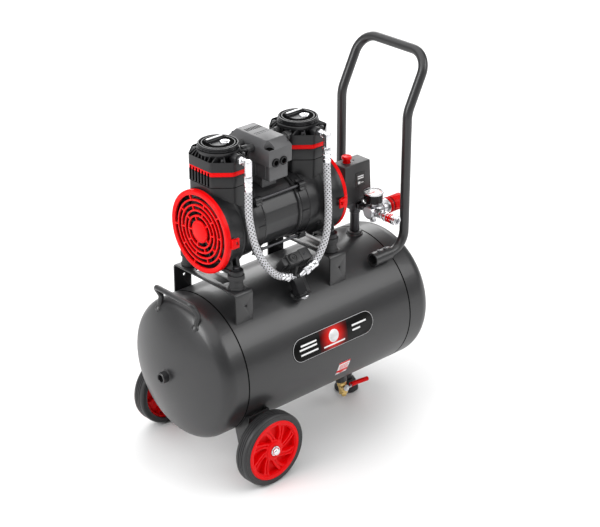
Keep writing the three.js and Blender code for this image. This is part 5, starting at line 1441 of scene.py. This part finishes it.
def make_unloader():
    x0, x1 = COIL_X
    upper, lower = COIL_SIZE
    lift = Vector((0, -math.sin(COIL_TILT), math.cos(COIL_TILT)))
    boss_at = Vector((x0 + 12, *coil_corner(upper / 2, 0)))
    stem = coil_corner(upper / 2, lower / 2)
    middle = (x0 + x1) / 2
    boss = lathe([(-1, 0), (-1, 10), (1.2, 9.6), (2.2, 8.8), (3.6, 8.4), (4, 7.8), (4, 6.2), (2.6, 5.4),
                  (2.6, 3.4), (3.8, 3.0), (3.8, 1.6), (2.4, 1.4), (2.4, 0)])
    case = joined(
        coil_block(x0, x1, 0, 1.2),
        coil_block(x0 + 30, x1 - 3, -0.9, 0.5),
        coil_block(x0 - 11, x0 + 2, 3.2, 1.4),
        move(aim(boss, lift), boss_at),
        rod((middle, *stem), (middle, stem[0] * 0.75, TANK_R - 30), 8, MIDDLE),
    )
    piece("unloader_case", case, "switch_plastic", stands_for=["unloader_valve"])
    nut_at = Vector((x0 - 4, *coil_corner(upper / 2, lower - 3)))
    piece("unloader_screws", joined(
        screw_head((x0 + 38, *coil_corner(upper / 2, -0.9)), lift, 2.6, 1.4),
        hexagon(nut_at, nut_at - lift * 6, 6.5)), "dark_steel")


# ---- Outlet riser, switch, regulator, gauge and coupler --------------------

def make_riser():
    x, z = RISER_X, MANIFOLD_Z
    shape = joined(
        lathe([(133, 4.5), (133, 7.4), (142, 7.4), (142, 9.0), (178, 9.0), (179, 10.6), (186, 10.6),
               (186, 4.5)], at=(x, 0, 0), ring=True),
        block(x - 11, x + 11, -11, 11, z - 11, SWITCH_Z[0] - 0.3, 1.2),
        rod((x, -10, z), (x, REGULATOR_Y + 13, z), 6.2, MIDDLE),
        hexagon((x, -12, z), (x, -19, z), 9.2),
        hexagon((x, REGULATOR_Y + 20, z), (x, REGULATOR_Y + 13.4, z), 9.6),
        rod((x + 10, 0, z), (x + 15, 0, z), 6.6, SMALL, 0.6),
    )
    piece("riser_pipe", shape, "dark_steel", stands_for=["outlet_riser"])


def make_switch():
    low, high = SWITCH_Z
    x = SWITCH_X
    knob_x = x - 12
    cover = block(x - 35, x + 35, -20, 20, low, high)
    upper = [v for v in cover.verts if v.co.z > high - 1]
    bmesh.ops.scale(cover, verts=upper, vec=(32.5 / 35, 17.5 / 20, 1), space=Matrix.Translation((-x, 0, 0)))
    softened(cover, 2.4, 4, 30.0)
    well = rod((knob_x, 0, high - 10), (knob_x, 0, high + 3), 8.3, MIDDLE)
    port = rod((x + 5, 0, high - 4), (x + 5, 0, high + 2), 2.2, SMALL)
    cover = carved(cover, well, port)
    skirt = block(x - 35.4, x + 35.4, -20.4, 20.4, low, low + 5, 1.0)
    collar = [(high - 0.6, 8.4), (high - 0.6, 11.4), (high + 0.6, 11.0), (high + 0.8, 8.4)]
    collar = lathe(collar, at=(knob_x, 0, 0), ring=True)
    piece("switch_cover", joined(cover, skirt, collar), "switch_plastic", stands_for=["pressure_switch"])
    top = high + 13.5
    knob = lathe([(high - 9.6, 0), (high - 9.6, 7.0), (top - 8, 7.0), (top - 6.2, 8.6), (top - 5, 9.6),
                  (top - 1.2, 9.6), (top - 0.3, 9.0), (top, 8.0), (top - 0.5, 6.6), (top - 0.5, 0)],
                 at=(knob_x, 0, 0), steps=FINE)
    piece("switch_pull_knob", knob, "red_plastic", "switch_knob", ["switch_knob"])
    lean = math.atan2(2.5, high - low)
    label = block(-11.5, 11.5, -0.3, 0.5, -14, 14, 0.1, 1)
    spots = [block(-7.5, 7.5, -0.55, 0, z - 1.1, z + 1.1) for z in (7, 3)]
    spots += [block(-7, -1, -0.55, 0, -8, -3), block(1, 7, -0.55, 0, -7, -5.4)]
    stickers = (("switch_sticker", label, "ink"), ("switch_sticker_print", joined(*spots), "print"))
    for name, part, finish in stickers:
        turn(part, -lean, "x")
        piece(name, move(part, (x + 6, -19.25, 252)), finish)


def ribbed_grip(start, length, radius, ribs, waist):
    """A turned grip along +X with raised ribs round it."""
    core = lathe([(start, waist), (start, radius - 0.9), (start + length - 1.6, radius - 0.9),
                  (start + length, radius - 2.4), (start + length, waist)], "x", steps=FINE, ring=True)

    def rib():
        return block(start + 0.4, start + length - 1.2, -1.0, 1.0, radius - 2, radius, 0.4)

    return joined(core, around(ribs, rib, "x"))


def make_regulator():
    x, y, z = RISER_X, REGULATOR_Y, MANIFOLD_Z
    at = (0, y, z)
    plug = x - 15
    end = x + 35
    shapes = [
        lathe([(plug, 0), (plug, 11.2), (plug + 1.2, 12.4), (plug + 5.4, 12.4), (plug + 6.8, 11),
               (plug + 7, 0)], "x", at, FINE),
        lathe([(plug + 5, 0), (plug + 5, 10), (x - 4, 11), (x + 17, 11.5), (x + 18, 13.4), (x + 20, 14.5),
               (end - 1, 14.5), (end, 13.6), (end, 0)], "x", at, FINE),
        rod((end - 1, y, z), (end + 12, y, z), 6, MIDDLE),
        rod((x, y, z), (x, y, GAUGE_Z - 21), 5, SMALL),
        hexagon((x, y, z + 11), (x, y, z + 18), 8),
        rod((x, y, z), (x, y, z - 17), 5.2, SMALL, 0.6),
        hexagon((x, y, z - 17), (x, y, z - 21), 6.4),
        rod((x, y + 14, z), (x, y - 13, z), 8.5, MIDDLE, 0.8),
    ]
    piece("regulator_casting", joined(*shapes), "satin", stands_for=["regulator_body"])
    knob_start = end + 0.3
    lock = ribbed_grip(knob_start, 8, 15.5, 30, 6.4)
    grip = ribbed_grip(knob_start + 10.5, 27.5, 15.2, 24, 6.4)
    neck = lathe([(knob_start + 7, 6.4), (knob_start + 7, 13.2), (knob_start + 12, 13.2),
                  (knob_start + 12, 6.4)], "x", ring=True)
    lid = lathe([(knob_start + 14.2, 0), (knob_start + 14.2, 7), (knob_start + 37, 7), (knob_start + 37, 12),
                 (knob_start + 37.9, 11.2), (knob_start + 37.9, 0)], "x")
    piece("regulator_grip", move(joined(lock, grip, lid), at), "red_plastic", "regulator_knob",
          ["regulator_knob"])
    piece("regulator_grip_neck", move(neck, at), "ink", "regulator_knob")


def make_gauge():
    x, y = RISER_X, REGULATOR_Y
    top, base = GAUGE_Z, GAUGE_Z - 21
    case = lathe([(base, 0), (base, 16), (base + 1.5, 17.6), (top - 4.6, 17.8), (top - 4.2, GAUGE_R - 0.3),
                  (top - 3.6, GAUGE_R), (top - 0.8, GAUGE_R), (top, GAUGE_R - 0.8), (top, GAUGE_R - 1.8),
                  (top - 0.8, GAUGE_R - 2.4), (top - 3.4, GAUGE_R - 2.4), (top - 3.4, 0)], at=(x, y, 0),
                 steps=FINE)
    piece("gauge_housing", case, "dark_plastic", stands_for=["gauge_case"])
    proud = GAUGE_R + 0.15
    rim = lathe([(top - 3.2, GAUGE_R - 0.6), (top - 3.2, proud), (top - 0.6, proud),
                 (top + 0.2, GAUGE_R - 0.9), (top + 0.2, GAUGE_R - 1.9), (top - 1, GAUGE_R - 2.4)],
                at=(x, y, 0), steps=FINE, ring=True)
    piece("gauge_rim", rim, "satin")
    z = top - 3.35
    card = lathe([(z - 0.4, 0), (z - 0.4, 16.4), (z, 16.4), (z, 0)], at=(x, y, 0), steps=FINE)
    piece("gauge_dial", card, "dial")
    ink, red = [], []
    for k in range(DIAL_TICKS):
        long = 2.6 if k % 5 == 0 else 1.4
        tick = block(-0.16, 0.16, 14.6 - long, 14.6, z, z + 0.12)
        (ink if k < RED_TICK else red).append(turn(tick, -math.radians(DIAL_START + DIAL_STEP * k)))
    ink.append(slab(arc((0, 0), 11.0, 225, 9, 30) + arc((0, 0), 10.4, 9, 225, 30), z, z + 0.1))
    red.append(slab(arc((0, 0), 15.8, 9, -45, 12) + arc((0, 0), 14.2, -45, 9, 12), z, z + 0.1))
    piece("gauge_scale", move(joined(*ink), (x, y, 0)), "ink")
    piece("gauge_red_zone", move(joined(*red), (x, y, 0)), "red_plastic")
    for value in range(0, 11, 2):
        number(str(value), 8.2, DIAL_START + 3 * DIAL_STEP * value, z)
    needle = joined(
        slab([(-13, 0), (-3, -0.9), (4.2, -0.6), (4.2, 0.6), (-3, 0.9)], z + 0.9, z + 1.3),
        lathe([(z + 0.3, 0), (z + 0.3, 2.2), (z + 1.6, 2.2), (z + 2.0, 1.4), (z + 2.0, 0)], steps=SMALL),
    )
    piece("gauge_pointer", move(needle, (x, y, 0)), "red_plastic", "gauge_needle", ["gauge_needle"])
    glass = lathe([(top - 0.9, 0), (top - 0.9, GAUGE_R - 2.4), (top - 0.2, GAUGE_R - 2.6), (top + 0.5, 0)],
                  at=(x, y, 0), steps=FINE)
    piece("gauge_window", glass, "glass")


def number(text, radius, degrees, z):
    """A numeral on the dial, at a radius and a number of degrees, read from the -Y side."""
    words = bpy.data.curves.new("numeral", "FONT")
    words.body = text
    words.size = 3.0
    words.align_x = "CENTER"
    words.align_y = "CENTER"
    words.extrude = 0.05
    holder = put_in_scene("numeral", words)
    shape = evaluated(holder)
    bpy.data.objects.remove(holder)
    bpy.data.curves.remove(words)
    swing = math.radians(degrees)
    at = (RISER_X + radius * math.sin(swing), REGULATOR_Y + radius * math.cos(swing), z + 0.06)
    piece(f"gauge_numeral_{text}", move(cleaned(shape), at), "ink")


def make_coupler():
    x, y, z = RISER_X, REGULATOR_Y - 12.8, MANIFOLD_Z
    tip = y - 52
    core = lathe([(y, 0), (y, 7.4), (y - 1, 8.2), (y - 3, 8.2), (y - 13, 8.0), (y - 14, 6.2),
                  (tip + 0.6, 6.2), (tip, 5.6), (tip, 4.8), (tip + 1, 4.2), (tip + 16, 4.2), (tip + 16, 0)],
                 "y", (x, 0, z), FINE)
    nut = hexagon((x, y - 1, z), (x, y - 9, z), 9.6)
    piece("coupler_body", joined(core, nut), "satin", stands_for=["coupler_core"])
    start, end = y - 19.4, tip + 2
    r = 9.5
    profile = [(start, 6.6), (start, r - 0.6), (start - 0.6, r), (start - 5, r), (start - 5.6, r - 0.8),
               (start - 20, r - 0.8), (start - 20.6, r), (end + 5, r), (end + 4.2, r - 0.8), (end + 3.4, r),
               (end + 0.6, r), (end, r - 0.6), (end, 6.6)]
    sleeve = lathe(profile, "y", (x, 0, z), FINE, ring=True)
    knurl = around(32, lambda: block(-0.35, 0.35, r - 0.4, r + 0.15, 1, 4.4, 0.1, 1))
    knurl = move(turn(knurl, math.pi / 2, "x"), (x, start, z))
    piece("coupler_slide", joined(sleeve, knurl), "chrome", "coupler_sleeve", ["coupler_sleeve"])
    bands = []
    for k, width in ((0, 2.2), (1, 3.4), (2, 2.2)):
        low = start - 8.2 - 4.4 * k
        ring = [(low, r - 1.0), (low, r - 0.62), (low - width, r - 0.62), (low - width, r - 1.0)]
        bands.append(lathe(ring, "y", (x, 0, z), FINE, ring=True))
    piece("coupler_bands", joined(*bands), "red_plastic", "coupler_sleeve")


# ---- Handles ---------------------------------------------------------------

def make_handles():
    socket_z = math.sqrt((TANK_R + SOCKET_R + 0.6) ** 2 - HANDLE_Y ** 2)
    top_x = HANDLE_X + HANDLE_LEAN * (HANDLE_TOP_Z - HANDLE_BEND_Z)

    def leg(side):
        y = side * HANDLE_Y
        return [(SOCKET_X[0] + 14, y, socket_z), (HANDLE_X, y, socket_z), (HANDLE_X, y, HANDLE_BEND_Z),
                (top_x, y, HANDLE_TOP_Z)]

    corners = leg(-1) + leg(1)[::-1]
    bends = [36, 56, 39]
    line = bent_line(corners, bends + bends[::-1], 14)
    piece("push_bar", tube(line, HANDLE_R, MIDDLE), "tank_paint", stands_for=["push_handle"])
    seat = (TANK_R - 0.5) / math.hypot(socket_z, HANDLE_Y)
    for side, sign in SIDES:
        y = sign * HANDLE_Y
        low, high = SOCKET_X
        ring = [(low, 9.6), (low, 12.4), (low + 0.8, SOCKET_R), (high - 0.8, SOCKET_R), (high, 12.4),
                (high, 9.6)]
        socket = lathe(ring, "x", (0, y, socket_z), FINE, ring=True)
        weld_y, weld_z = y * seat + sign * 3.2, socket_z * seat + 1.5
        bead = tube([(low + 2 + k, weld_y, weld_z) for k in range(0, 42, 3)], 2.4, 16)
        piece(f"handle_tube_holder_{side}", joined(socket, bead), "tank_paint",
              stands_for=[f"handle_socket_{side}"])
        screws = [screw_head((sx, y, socket_z + SOCKET_R - 0.5), (0, 0, 1), 3.6, 2.2) for sx in (162, 178)]
        piece(f"handle_screws_{side}", joined(*screws), "dark_steel")


def make_front_handle():
    root, knee, top = (-252, 100), (-245, 129), (-258, 152)

    def leg(side):
        return [(px, side * 51, pz) for px, pz in (root, knee, top)]

    line = bent_line(leg(-1) + leg(1)[::-1], [9, 9, 9, 9], 8)
    bar = tube(line, 5, 32)
    weld = [(-4, 4), (-2.5, 7.4), (0.5, 8.0), (3, 6.6), (5, 4.6)]
    welds = [lathe(weld, at=(-250.4, side * 51, 106.6), ring=True) for side in (-1, 1)]
    piece("carry_bar", joined(bar, *welds), "tank_paint", stands_for=["front_handle"])


# ---- Hidden pieces keep their own shape ------------------------------------

def finish_hidden():
    for node, finish in (("motor_stator", "copper"), ("motor_rotor", "steel"), ("piston_front", "satin"),
                         ("piston_rear", "satin")):
        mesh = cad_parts[node].data
        mesh.materials.clear()
        mesh.materials.append(FINISHES[finish][0])


# ---- Floor, light and camera -----------------------------------------------

def make_stage():
    floor = bmesh.new()
    bmesh.ops.create_grid(floor, x_segments=1, y_segments=1, size=FLOOR_HALF)
    mesh = bpy.data.meshes.new("studio_floor")
    floor.to_mesh(mesh)
    floor.free()
    wiring = Wiring("studio_floor")
    wiring.set(Base_Color=rgb(FLOOR_SHADE, FLOOR_SHADE, FLOOR_SHADE), Roughness=0.6)
    mesh.materials.append(wiring.material)
    ground = put_in_scene("studio_floor", mesh)


def softbox(name, place, size, power):
    light = bpy.data.lights.new(name, "AREA")
    light.shape = "RECTANGLE"
    light.size, light.size_y = size
    light.energy = power
    holder = put_in_scene(name, light)
    holder.location = place
    holder.rotation_euler = (Vector(LIGHTS_AIM) - Vector(place)).to_track_quat("-Z", "Y").to_euler()


def make_light():
    world = bpy.data.worlds.new("studio")
    world.use_nodes = True
    background = world.node_tree.nodes["Background"]
    background.inputs["Color"].default_value = rgb(1, 1, 1)
    background.inputs["Strength"].default_value = WORLD_STRENGTH
    bpy.context.scene.world = world
    sky = bpy.data.lights.new("ceiling", "SUN")
    sky.energy = CEILING_POWER
    sky.angle = CEILING_SPREAD
    put_in_scene("ceiling", sky).rotation_euler = CEILING_LEAN
    for name, (place, size, power) in SOFTBOXES.items():
        softbox(name, place, size, power)


def make_camera():
    lens = bpy.data.cameras.new("camera")
    lens.lens = CAMERA_LENS
    lens.sensor_width = 36.0
    holder = put_in_scene("camera", lens)
    holder.location = in_frame(CAMERA_AT)
    level = math.cos(CAMERA_ELEVATION)
    forward = Vector((-math.sin(CAMERA_AZIMUTH) * level, math.cos(CAMERA_AZIMUTH) * level,
                      -math.sin(CAMERA_ELEVATION)))
    holder.rotation_euler = forward.to_track_quat("-Z", "Y").to_euler()
    bpy.context.scene.camera = holder


make_camera()
make_light()
make_stage()
make_hoses()
make_tank()
make_labels()
make_wheels()
make_foot()
make_drain()
make_saddles()
make_motor()
make_junction_box()
make_transfer_pipes()
make_check_valve()
make_unloader()
make_riser()
make_switch()
make_regulator()
make_gauge()
make_coupler()
make_handles()
make_front_handle()
finish_hidden()

bpy.context.scene.view_settings.view_transform = "Standard"
bpy.context.view_layer.update()
